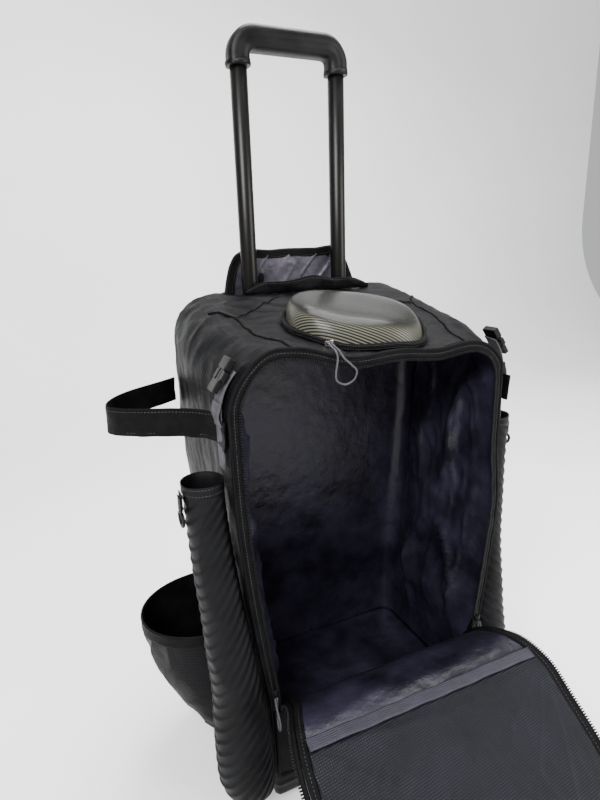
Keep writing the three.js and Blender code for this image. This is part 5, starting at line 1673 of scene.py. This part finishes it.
LIP_LENGTH, LIP_HEIGHT, LIP_THICK, LIP_X = 216.0, 20.0, 7.0, 12.0
LIP_AT, LIP_SHARE = [0, 0.1, 0.3, 0.65, 0.88, 1], [0.3, 0.8, 1, 1, 0.75, 0.3]
along, around = np.meshgrid(
    np.linspace(0, 1, 150), 2 * np.pi * np.arange(40) / 40, indexing="ij"
)
lip_x = LIP_X + (along - 0.5) * LIP_LENGTH
lip_high = LIP_HEIGHT * through(LIP_AT, LIP_SHARE, along)
level = 0.5 - 0.5 * np.cos(around)
belly = np.sin(around) * mix(1.0, 0.75, level) * LIP_THICK / 2
end = np.sqrt(np.clip(1 - (2 * along - 1) ** 12, 0.02, 1))
lip_y = LINING_BACK - LIP_THICK - 0.5 * level**1.5 * LIP_THICK - belly * end * 1.1
lip_grid = np.stack([lip_x, lip_y, top_height(lip_x, lip_y) + 0.6 + lip_high * level], -1)
crumple = (folds(lip_grid, 34, 150, (1.6, 1, 1)) - 0.5) * 2.2 + waves(lip_grid, 60, 151) * 1.2
lip_grid[..., 1] -= crumple * level * end
lip_grid[..., 2] += 1.6 * waves(lip_grid, 55, 152) * level * end
lip_grid = np.concatenate([lip_grid[:1].mean(1, keepdims=True).repeat(40, 1), lip_grid,
                           lip_grid[-1:].mean(1, keepdims=True).repeat(40, 1)])
lip = surface("handle_cover_lip", lip_grid, ring=True)
dress(lip, ripstop, "handle_lip")
crest_line = smooth_path(lip_grid[2:-2, 15][::6], 160)
stitches("lip_stitches", crest_line - [0, 0.4, 0], (0, -1.0, 0.2), 4.0, 2.6, 0.55)
print("hood and lip made, the lip's crest at", round(float(lip_grid[..., 2].max())), "mm")

# %% [markdown]
# ## The pull handle
#
# Two painted tubes slide in two outer tubes, and a moulded grip joins them. The grip is two
# half shells on the real handle, so a parting line runs round it, and a collar closes each
# end. Its section is a soft square, thicker where the hand goes.

# %% Grip and tubes
HANDLE_Y, TUBE_X, TUBE_RADIUS, TUBE_FOOT = 234.0, 78.0, 12.5, 430.0
GRIP_TOP, GRIP_RADIUS, COLLAR_FOOT, GRIP_CORNER = 1073.0, 17.5, 1018.0, 24.0
bar_z = GRIP_TOP - GRIP_RADIUS
bend = np.linspace(0, np.pi / 2, 16)
left_leg = [(-TUBE_X, z) for z in np.linspace(COLLAR_FOOT, bar_z - GRIP_CORNER, 12)[:-1]]
left_bend = [
    (-TUBE_X + GRIP_CORNER * (1 - np.cos(a)),
     bar_z - GRIP_CORNER + GRIP_CORNER * np.sin(a)) for a in bend
]
bar = [(x, bar_z) for x in np.linspace(-TUBE_X + GRIP_CORNER, TUBE_X - GRIP_CORNER, 40)[1:-1]]
half_route = left_leg + left_bend
route = half_route + bar + [(-x, z) for x, z in half_route[::-1]]
grip_path = np.array([(x, HANDLE_Y, z) for x, z in route])
turn = 2 * np.pi * np.arange(44) / 44
squared = 1 / (np.abs(np.cos(turn)) ** 3.2 + np.abs(np.sin(turn)) ** 3.2) ** (1 / 3.2)
groove = 1 - 0.035 * np.exp(-((np.sin(turn) / 0.07) ** 2))
place = np.concatenate([[0], np.cumsum(np.linalg.norm(np.diff(grip_path, axis=0), axis=1))])
middle_share = np.abs(place / place[-1] - 0.5) * 2
thick = mix(1.0, 0.93, ease(middle_share, 0.55, 0.75))
collar = 1 + 0.03 * (ease(-np.minimum(place, place[-1] - place), -9, -8))
sections = (
    GRIP_RADIUS * 0.985 * (squared * groove)[None, :, None] * (thick * collar)[:, None, None]
    * np.stack([np.cos(turn), np.sin(turn)], -1)[None]
)
grip_rings = sweep(grip_path, sections, (0, 1.0, 0))
lip_in = [mix(grip_rings[k], grip_rings[k].mean(0), s) for k, s in ((0, 0.06), (-1, 0.06))]
closed_grip = capped(np.concatenate([[lip_in[0]], grip_rings, [lip_in[1]]]))
grip = surface("grip_moulding", closed_grip, ring=True)
dress(grip, grip_plastic, "grip", body="handle")


def turned(name, x, y, profile, material, *nodes, sides=48, body="bag"):
    """An upright turned piece: a profile of (radius, z) carried round an upright axis."""
    profile = np.asarray(profile, float)
    spin = 2 * np.pi * np.arange(sides) / sides
    rings = np.stack(
        [
            x + profile[:, :1] * np.cos(spin),
            y + profile[:, :1] * np.sin(spin),
            np.broadcast_to(profile[:, 1:], (len(profile), sides)),
        ],
        -1,
    )
    made = surface(name, rings, ring=True, loop=True)
    return dress(made, material, *nodes, body=body)


def tube_profile(outer, inner, low, high, edge=0.4):
    """A tube's wall with its four edges broken."""
    return [
        (outer - edge, low), (outer, low + edge), (outer, high - edge), (outer - edge, high),
        (inner + edge, high), (inner, high - edge), (inner, low + edge), (inner + edge, low),
    ]


for side, word in ((-1, "left"), (1, "right")):
    profile = tube_profile(TUBE_RADIUS, TUBE_RADIUS - 2, TUBE_FOOT, COLLAR_FOOT - 0.3)
    turned(f"sliding_tube_{word}", side * TUBE_X, HANDLE_Y, profile, black_tube,
           f"handle_tube_{word}", body="handle")
    profile = tube_profile(TUBE_RADIUS + 2.3, TUBE_RADIUS + 0.5, 28.3, 688.0)
    turned(f"fixed_tube_{word}", side * TUBE_X, HANDLE_Y, profile, black_tube, f"outer_tube_{word}")
    profile = [(16.2, COLLAR_FOOT + 1.2), (18.4, COLLAR_FOOT + 1.4), (18.6, COLLAR_FOOT + 2.4),
               (18.6, COLLAR_FOOT + 5.0), (18.3, COLLAR_FOOT + 5.8), (16.2, COLLAR_FOOT + 6.0)]
    turned(f"grip_collar_{word}", side * TUBE_X, HANDLE_Y, profile, grip_plastic, body="handle")
print("handle:", round(GRIP_TOP), "mm high, tubes", 2 * TUBE_X, "mm apart")

# %% [markdown]
# The moulded plate round the tubes lies in the hood's foot. It has a raised collar at each
# tube and a folded nylon edge in front.

# %% Plate round the tubes
PLATE_TOP, PLATE_THICK, PLATE_HALF = 682.0, 6.0, 116.0
outline = np.array(
    [(-PLATE_HALF, 216.3), (PLATE_HALF, 216.3), (PLATE_HALF, 255.4), (-PLATE_HALF, 255.4)]
)
plate_basis = [(1.0, 0, 0), (0, 1.0, 0), (0, 0, 1.0), (0, 0, PLATE_TOP - PLATE_THICK)]
plate_piece = plate("tube_plate", outline, PLATE_THICK, plate_basis, 1.5, moulded, "handle_plate")
for side, word in ((-1, "left"), (1, "right")):
    profile = [(15.0, PLATE_TOP - 0.5), (21.0, PLATE_TOP - 0.5), (20.4, PLATE_TOP + 3),
               (18.5, PLATE_TOP + 5),
               (16.0, PLATE_TOP + 7.6), (15.2, PLATE_TOP + 7.6)]
    turned(f"tube_collar_{word}", side * TUBE_X, HANDLE_Y, profile, moulded)

# %% [markdown]
# ## Tray, wheels and foot
#
# Under the cloth is a moulded tray with a housing for each wheel. The housings take a
# flange round their cut. The wheels are a rubber tyre with a rounded tread on a hub of five
# spokes, and turn on a steel axle.

# %% Tray and foot
TRAY_FOOT, TRAY_WALL = 24.0, 4.0


def tray_ring(inset, count=200):
    """The tray's outline seen from above: square front corners, round back corners."""
    half = float(side_x(FRONT, FOOT)) + TRAY_OVERHANG - inset
    front, back = FRONT - TRAY_OVERHANG + inset, BACK + TRAY_OVERHANG - inset
    rear, nose = BACK_CORNER + TRAY_OVERHANG - inset, max(8.0 - inset, 1.0)
    turn = np.linspace(0, np.pi / 2, 14)
    right_front = [(half - nose + nose * np.sin(a), front + nose - nose * np.cos(a)) for a in turn]
    right_back = [(half - rear + rear * np.cos(a), back - rear + rear * np.sin(a)) for a in turn]
    one = right_front + right_back
    both = np.array(one + [(-x, y) for x, y in one[::-1]])
    path = np.column_stack([both, np.zeros(len(both))])
    path = np.vstack([path, path[:1]])
    run = np.concatenate([[0], np.cumsum(np.linalg.norm(np.diff(path, axis=0), axis=1))])
    even = np.linspace(0, run[-1], count + 1)[:-1]
    return np.column_stack([np.interp(even, run, path[:, 0]), np.interp(even, run, path[:, 1])])


rim = FOOT - 0.4
levels = [
    (90, TRAY_FOOT + 0.2), (3, TRAY_FOOT), (1.0, TRAY_FOOT + 0.6), (0, TRAY_FOOT + 3),
    (0, 40), (-0.6, 41), (-0.6, 44), (0, 45), (0, rim - 1), (1, rim), (TRAY_WALL - 1, rim),
    (TRAY_WALL, rim - 1), (TRAY_WALL, TRAY_FOOT + TRAY_WALL + 3),
    (TRAY_WALL + 3, TRAY_FOOT + TRAY_WALL),
    (90, TRAY_FOOT + TRAY_WALL),
]
fine_levels = []
for (inset_a, z_a), (inset_b, z_b) in zip(levels[:-1], levels[1:]):
    steps = max(int(np.hypot(inset_b - inset_a, z_b - z_a) / 5), 1)
    fine_levels += [(mix(inset_a, inset_b, s), mix(z_a, z_b, s)) for s in np.arange(steps) / steps]
fine_levels.append(levels[-1])
tray_rows = []
ring_out = tray_ring(0.0)
for inset, z in fine_levels:
    ring = tray_ring(inset) if inset < 30 else mix(tray_ring(30.0),
                                                   ring_out * [0.25, 0.5] + [0, 60],
                                                   (inset - 30) / 60)
    tray_rows.append(np.column_stack([ring, np.full(len(ring), z)]))
flat_rows = [np.array([[0, 115, r[0, 2]]]).repeat(len(ring_out), 0) for r in (tray_rows[0],
                                                            tray_rows[-1])]
tray_grid = np.array([flat_rows[0], *tray_rows, flat_rows[1]])
cell = (tray_grid[:-1, :] + tray_grid[1:, :]) / 2
cell = (cell + np.roll(cell, -1, 1)) / 2
in_housing = (np.abs(np.abs(cell[..., 0]) - WHEEL_SPACING / 2) < HOUSING_HALF + 1) & (
    np.hypot(cell[..., 1] - WHEEL_Y, cell[..., 2] - WHEEL_RADIUS) < HOUSING_RADIUS + 1
)
tray = surface("base_tub", tray_grid, ring=True, keep=~in_housing, middle=(0, 115, 42))
dress(tray, moulded, "base_tray")
foot_outline = np.array([(-125.0, -17), (125, -17), (125, 17), (-125, 17)])
foot_basis = [(1.0, 0, 0), (0, 1.0, 0), (0, 0, -1.0), (0, 0, TRAY_FOOT - 0.3)]
foot = plate("foot_block", foot_outline, TRAY_FOOT - 0.3, foot_basis, 4.0, rubber, "front_foot")
print("tray and foot made")

# %% Wheels and housings


def across_wheel(side, radius, across, turn):
    """A point about the wheel's axle: across is along it, away from the middle."""
    return np.stack(
        [
            side * (WHEEL_SPACING / 2 + across) + 0 * turn,
            WHEEL_Y + radius * np.cos(turn),
            WHEEL_RADIUS + radius * np.sin(turn),
        ],
        -1,
    )


def wheel_part(name, side, profile, material, *nodes, body, sides=72, keep=None):
    profile = np.asarray(profile, float)
    spin = 2 * np.pi * np.arange(sides) / sides
    rings = across_wheel(side, profile[:, :1], profile[:, 1:], spin[None])
    made = surface(name, rings, ring=True, loop=True, keep=keep)
    return dress(made, material, *nodes, body=body)


half_tread = WHEEL_WIDTH / 2
for side, word in ((-1, "left"), (1, "right")):
    body = f"wheel_{word}"
    angle = np.linspace(-1, 1, 15)
    tread = [(38.0 - 4.2 * abs(a) ** 3.2 - (0.8 if abs(abs(a) - 0.43) < 0.04 else 0),
              a * half_tread) for a in angle]
    tyre_profile = [(25.4, -half_tread + 0.6), (27, -half_tread), *tread, (27, half_tread),
                    (25.4, half_tread - 0.6)]
    wheel_part(f"tyre_{word}_rubber", side, tyre_profile, rubber, f"tyre_{word}", body=body)
    rim_profile = [(19.5, -10.2), (24, -10.6), (25.1, -10), (25.1, 10), (24, 10.6), (19.5, 10.2),
                   (18.8, 9), (18.8, -9)]
    wheel_part(f"wheel_rim_{word}", side, rim_profile, moulded, f"hub_{word}", body=body)
    boss_profile = [(4.4, -12), (9, -12), (10, -11), (10, 11), (9, 12), (4.4, 12)]
    wheel_part(f"wheel_boss_{word}", side, boss_profile, moulded, body=body)
    for k in range(5):
        spoke_turn = 2 * np.pi * k / 5 + 0.3
        start = across_wheel(side, 9.0, 0.0, np.array(spoke_turn))
        stop = across_wheel(side, 20.5, 0.0, np.array(spoke_turn))
        ribbon(f"wheel_spoke_{word}_{k + 1}", mix(start, stop, np.linspace(0, 1, 5)[:, None]),
               np.cross([1.0, 0, 0], stop - start), 6.5, 15.0, moulded, body=body)
    axle_profile = [(0.05, -16), (3.4, -16), (4, -15.4), (4, 15.4), (3.4, 16), (0.05, 16)]
    axle = f"wheel_axle_{word}"
    wheel_part(f"axle_{word}_pin", side, axle_profile, nickel, axle, body="bag", sides=28)

    spin = np.linspace(0, 2 * np.pi, 97)
    wide = HOUSING_HALF
    walls = [(5.0, -wide), (44, -wide), (45, -wide + 1), (45, wide - 1), (44, wide), (5.0, wide),
             (4.8, wide - 3), (42, wide - 3), (42, -wide + 3), (4.8, -wide + 3)]
    fine_walls = []
    for a, b in zip(walls, walls[1:] + walls[:1]):
        steps = max(int(np.hypot(b[0] - a[0], b[1] - a[1]) / 4), 1)
        fine_walls += [(mix(a[0], b[0], s), mix(a[1], b[1], s)) for s in np.arange(steps) / steps]
    fine_walls = np.array(fine_walls)
    grid = across_wheel(side, fine_walls[:, :1], fine_walls[:, 1:], spin[None, :-1])
    grid[..., 1] = np.minimum(grid[..., 1], BACK + 8)
    grid[..., 2] = np.maximum(grid[..., 2], TRAY_FOOT)
    well_middle = (side * 151.0, WHEEL_Y, 38)
    housing = surface(f"wheel_well_{word}", grid, ring=True, loop=True, middle=well_middle)
    dress(housing, moulded, f"wheel_housing_{word}")
print("wheels and housings made")

# %% [markdown]
# ## The back
#
# The side with the harness isn't in the photograph. A carried bag of this kind has a stuffed
# panel there and two padded straps with webbing at their ends. The panel is swelled with a
# short cloth simulation, because a stuffed form worked out by hand looks too even.

# %% Back pad
PAD_HALF, PAD_FOOT, PAD_TOP, PAD_THICK, PAD_CORNER = 128.0, 130.0, 600.0, 12.0, 36.0


def pad_outline(inset, count=160):
    """Rounded rectangle of the pad, as x and z."""
    turn = np.linspace(0, np.pi / 2, count // 4 + 1)[:-1]
    rows = []
    for quarter in range(4):
        angle = turn + quarter * np.pi / 2
        sign_x = 1 if quarter in (0, 3) else -1
        sign_z = 1 if quarter < 2 else -1
        radius = PAD_CORNER - inset * 0.5
        x = sign_x * (PAD_HALF - inset - radius) + radius * np.cos(angle)
        z = sign_z * ((PAD_TOP - PAD_FOOT) / 2 - inset - radius) + radius * np.sin(angle)
        rows.append(np.column_stack([x, z + (PAD_TOP + PAD_FOOT) / 2]))
    both = np.concatenate(rows)
    path = np.vstack([both, both[:1]])
    run = np.concatenate([[0], np.cumsum(np.linalg.norm(np.diff(path, axis=0), axis=1))])
    even = np.linspace(0, run[-1], count + 1)[:-1]
    return np.column_stack([np.interp(even, run, path[:, k]) for k in range(2)])


def swell(piece, pressure, cap_mm, voxel_mm):
    """Swells a closed piece with Blender's cloth: a copy of even voxels is blown up from
    inside without gravity, no point moves further than the cap, and the result is kept."""
    scene = bpy.context.scene
    bpy.context.view_layer.objects.active = piece
    remesh = piece.modifiers.new("voxels", "REMESH")
    remesh.mode = "VOXEL"
    remesh.voxel_size = voxel_mm * MM
    bpy.ops.object.modifier_apply(modifier=remesh.name)
    count = len(piece.data.vertices)
    before = np.empty(count * 3)
    piece.data.vertices.foreach_get("co", before)
    cloth = piece.modifiers.new("stuffing", "CLOTH")
    cloth.settings.use_pressure = True
    cloth.settings.uniform_pressure_force = pressure
    cloth.settings.effector_weights.gravity = 0
    cloth.settings.quality = 6
    cloth.settings.tension_stiffness = 12
    cloth.settings.bending_stiffness = 0.6
    cloth.point_cache.frame_start, cloth.point_cache.frame_end = 1, 20
    scene.frame_start, scene.frame_end = 1, 20
    for frame_number in range(1, 21):
        scene.frame_set(frame_number)
    moved = piece.evaluated_get(bpy.context.evaluated_depsgraph_get())
    after = np.empty(count * 3)
    moved.data.vertices.foreach_get("co", after)
    piece.modifiers.remove(cloth)
    scene.frame_set(1)
    step = (after - before).reshape(-1, 3)
    size = np.linalg.norm(step, axis=1, keepdims=True)
    step *= np.minimum(1, cap_mm * MM / np.maximum(size, 1e-9))
    piece.data.vertices.foreach_set("co", (before.reshape(-1, 3) + step).ravel())
    piece.data.polygons.foreach_set("use_smooth", np.ones(len(piece.data.polygons), bool))
    fine = piece.modifiers.new("fine", "SUBSURF")
    fine.levels = fine.render_levels = 1
    bpy.ops.object.modifier_apply(modifier=fine.name)
    return piece


def channels(x, z):
    """Sewn channels of the pad: how deep they are drawn in, 0 to 1. Two run down it and
    three across it, as lines of a few millimetres."""
    down = np.exp(-(((np.abs(x) - 44) / 5) ** 2))
    level = np.zeros_like(z)
    for height in (250.0, 365.0, 480.0):
        level = np.maximum(level, np.exp(-(((z - height) / 5) ** 2)))
    return np.maximum(down, level)


start_y = BACK + SEAM_GAP
profile = [(6, 0.2), (1.5, 0.6), (0.5, 4), (2, 7.5), (6, 9.2), (12, 9.6)]
pad_rows = [np.insert(pad_outline(inset), 1, start_y + rise, axis=1) for inset, rise in profile]
inner_share = np.linspace(0, 1, 34)[1:, None, None]
middle_line = np.zeros((160, 3))
middle_line[:, 2] = np.clip(pad_rows[-1][:, 2], PAD_FOOT + 120, PAD_TOP - 120)
middle_line[:, 1] = start_y + 9.8
front_rows = mix(pad_rows[-1][None], middle_line[None], inner_share)
back_line = middle_line.copy()
back_line[:, 1] = start_y + 0.2
pad_grid = np.concatenate([back_line[None], pad_rows, front_rows])
back_pad = surface("back_pad_cloth", pad_grid, ring=True)
back_pad = swell(back_pad, 4.0, 5.0, 6.0)
count = len(back_pad.data.vertices)
spots_now = np.empty(count * 3)
back_pad.data.vertices.foreach_get("co", spots_now)
spots_now = spots_now.reshape(-1, 3) / MM
off_back = ease(spots_now[:, 1], start_y + 5, start_y + 9)
spots_now[:, 1] -= 6.5 * channels(spots_now[:, 0], spots_now[:, 2]) * off_back
spots_now[:, 1] += 0.5 * waves(spots_now, 45, 170) * off_back
spots_now[:, 1] = np.clip(spots_now[:, 1], start_y - 0.2, BACK + 0.4 + 17)
back_pad.data.vertices.foreach_set("co", (spots_now * MM).ravel())
dress(back_pad, ripstop, "back_pad")
print("back pad:", len(back_pad.data.polygons), "faces")

# %% [markdown]
# The shoulder straps are curved foam pads in nylon, with webbing sewn to their lower ends
# that runs back to the foot of the pad.

# %% Shoulder straps and webbing
STRAP_AT = [0, 0.12, 0.3, 0.6, 0.85, 1]
STRAP_BOW = [0, 0.62, 1, 0.95, 0.6, 0.42]
STRAP_SPREAD = [0, 0.02, 0.15, 0.55, 0.88, 1]


def shoulder_path(side, share):
    x = mix(56.0, 104.0, through(STRAP_AT, STRAP_SPREAD, share))
    y = BACK + SEAM_GAP + 5.0 + 34.0 * through(STRAP_AT, STRAP_BOW, share)
    return np.stack([side * x, y, mix(636.0, 214.0, share)], -1)


for side, word in ((-1, "left"), (1, "right")):
    share = np.linspace(0, 1, 130)
    path = shoulder_path(side, share)
    end = np.sqrt(np.clip(1 - (2 * share - 1) ** 14, 0.03, 1))
    angle = 2 * np.pi * np.arange(48) / 48
    cos, sin = np.cos(angle), np.sin(angle)
    across = np.sign(cos) * np.abs(cos) ** 0.55
    lift = np.sign(sin) * np.abs(sin) ** 0.75
    seam = 1 - 0.55 * np.exp(-(((np.abs(across) - 0.86) / 0.05) ** 2))
    section = np.stack(
        [
            33.0 * across[None] * mix(0.9, 1, end)[:, None],
            5.0 * (lift * seam)[None] * end[:, None],
        ],
        -1,
    )
    rings = sweep(path, section, (1.0, 0, 0))
    rings += (0.6 * waves(rings, 40, 180 + side))[..., None] * [0, 1.0, 0]
    strap = surface(f"shoulder_pad_{word}", capped(rings), ring=True)
    dress(strap, ripstop, f"shoulder_strap_{word}")
    for edge in (-28.4, 28.4):
        for face in (-1, 1):
            line = path + [edge, 3.0 * face, 0]
            label = f"{'in' if edge * side < 0 else 'out'}_{'near' if face < 0 else 'far'}"
            stitches(f"shoulder_stitches_{word}_{label}", line[6:-6], (0, face * 1.0, 0), 4.2,
                     2.8, 0.6)
    start = shoulder_path(side, np.array(1.0)) + [0, 0, -5.0]
    over_pad = BACK + SEAM_GAP + PAD_THICK + CLOTH_GAP + STRAP_THICK / 2 + CLOTH_GAP
    on_back = BACK + CLOTH_GAP + STRAP_THICK / 2
    outer, sideways = 104.0, 25.0 / 3
    points = [
        start,
        (side * (outer + 0.3 * sideways), mix(start[1], over_pad, 0.7),
         mix(start[2], PAD_FOOT, 0.5)),
        (side * (outer + 0.7 * sideways), over_pad, PAD_FOOT + 6),
        (side * (outer + 0.9 * sideways), mix(over_pad, on_back, 0.5), PAD_FOOT - 9.7),
        (side * (outer + sideways), on_back + 0.6, PAD_FOOT - 22),
        (side * (outer + sideways), on_back + 0.6, PAD_FOOT - 44),
    ]
    ribbon(f"strap_webbing_{word}_band", smooth_path(points, 70), (1.0, 0, 0), 25, STRAP_THICK,
           grey_webbing, f"strap_webbing_{word}")
print("shoulder straps made")

# %% [markdown]
# ## The zip pulls
#
# The opening's two sliders and the dome's slider have loops of thin cord. The cord is 2.4 mm
# thick, and each loop starts and ends at its slider. They lie where the solids have them.

# %% Sliders and pull loops of the opening
PULL_DIAMETER = 2.4
OPENING_ROUTE = [
    (-1.4, -3.5, -3), (-1.3, -3.7, -12), (-0.6, -3.5, -30), (-0.3, -5, -42), (0, -10, -49),
    (0.3, -16, -42), (0.6, -15.5, -30), (1.4, -8, -15), (1.4, -3.5, -3),
]
DOME_ROUTE = [
    (-3.8, -1.4, 1), (-5.5, -10, 0), (-6, -20, -2.5), (-6.2, -29, -5.5), (-7, -35, -12),
    (-8.5, -36.5, -20), (-10.5, -37, -29), (-10, -37, -38), (1, -37, -45), (15, -37, -39),
    (17.5, -37, -31), (10, -36.8, -22), (1, -35.5, -13), (-2, -29.5, -5), (-2.2, -20, -2.3),
    (-1.2, -11, 0), (-0.75, -4, 1),
]


def pull(name, middle, route, side, node):
    """A loop of cord through the route's points."""
    points = np.array([(side * x, y, z) for x, y, z in route]) + middle
    path = smooth_path(points, 110)
    piece = cord_tube(name, path, PULL_DIAMETER / 2, grey_webbing, node, sides=10)
    return piece


for side, word in ((-1, "left"), (1, "right")):
    x = side * (float(side_x(FRONT, SLIDER_Z)) - OPENING_ZIP_WIDTH / 2)
    place = np.array([x, FRONT - SEAM_GAP - 2 * TAPE - 0.3 - SLIDER[2] / 2, SLIDER_Z])
    zip_slider(f"opening_slider_{word}", place, (0, 0, 1.0), (0, -1.0, 0), 12.0, moulded,
               f"zip_slider_{word}")
    pull(f"opening_pull_{word}", place, OPENING_ROUTE, side, f"zip_pull_{word}")
flat_point = plain_shell_point(ZIP_OUTER, SLIDER_TURN, SHELL_ZIP_HEIGHT / 2)
dome_ring = flat_point + slider_out * (SLIDER[2] / 2 + CLOTH_GAP)
pull("dome_pull", dome_ring, DOME_ROUTE, 1, "shell_pull")

# %% [markdown]
# ## The studio
#
# The photograph is a cut-out on white, lit softly from above and the left. A pale floor
# that rises into a wall behind gives the same plain ground, with a soft contact shadow.

# %% Floor and light
curve_turn = np.linspace(0, np.pi / 2, 16)[1:]
run = np.concatenate([np.linspace(-3000, 1700, 12), 1700 + 900 * np.sin(curve_turn)])
climb = np.concatenate([np.zeros(12), 900 * (1 - np.cos(curve_turn))])
run, climb = np.append(run, 2600), np.append(climb, 3600)
span = np.linspace(-3500, 3500, 8)
ground = np.stack(
    [np.broadcast_to(span, (len(run), 8)),
     *(np.broadcast_to(v[:, None], (len(run), 8)) for v in (run, climb))],
    -1,
)
studio_floor = surface("studio_floor", ground, toward=(0, -0.3, 1))
paper = finish(
    "studio paper, white",
    {"Roughness": 0.9, "IOR": 1.4},
    lambda tree: {
        "Base Color": between(tree, spots(tree, 900, 2), linear("#f1f1f1"), linear("#f6f6f6"))
    },
)
studio_floor.data.materials.append(paper)


def soft_light(name, place, aim, size, watts):
    """A square area light at a place in metres, turned to its aim."""
    data = bpy.data.lights.new(name, "AREA")
    data.shape = "SQUARE"
    data.size = size
    data.energy = watts
    lamp = bpy.data.objects.new(name, data)
    bpy.context.collection.objects.link(lamp)
    away = np.array(place, float) - np.array(aim, float)
    away /= np.linalg.norm(away)
    level = np.cross([0, 0, 1.0], away)
    level /= np.linalg.norm(level)
    pose = np.eye(4)
    pose[:3, 0], pose[:3, 1], pose[:3, 2] = level, np.cross(away, level), away
    pose[:3, 3] = place
    lamp.matrix_world = Matrix(pose.tolist())
    return lamp


lamps = [
    soft_light("key_light", (-1.5, -1.6, 2.3), (0, 0, 0.45), 1.3, 180),
    soft_light("top_light", (0.5, 0.5, 2.7), (0, 0, 0.5), 1.5, 130),
    soft_light("fill_light", (1.9, -1.5, 1.3), (0, 0, 0.45), 1.5, 70),
]
world = bpy.data.worlds.new("studio air")
bpy.context.scene.world = world
world.use_nodes = True
sky = world.node_tree.nodes["Background"]
sky.inputs[0].default_value = linear("#f4f5f7")
sky.inputs[1].default_value = 0.6
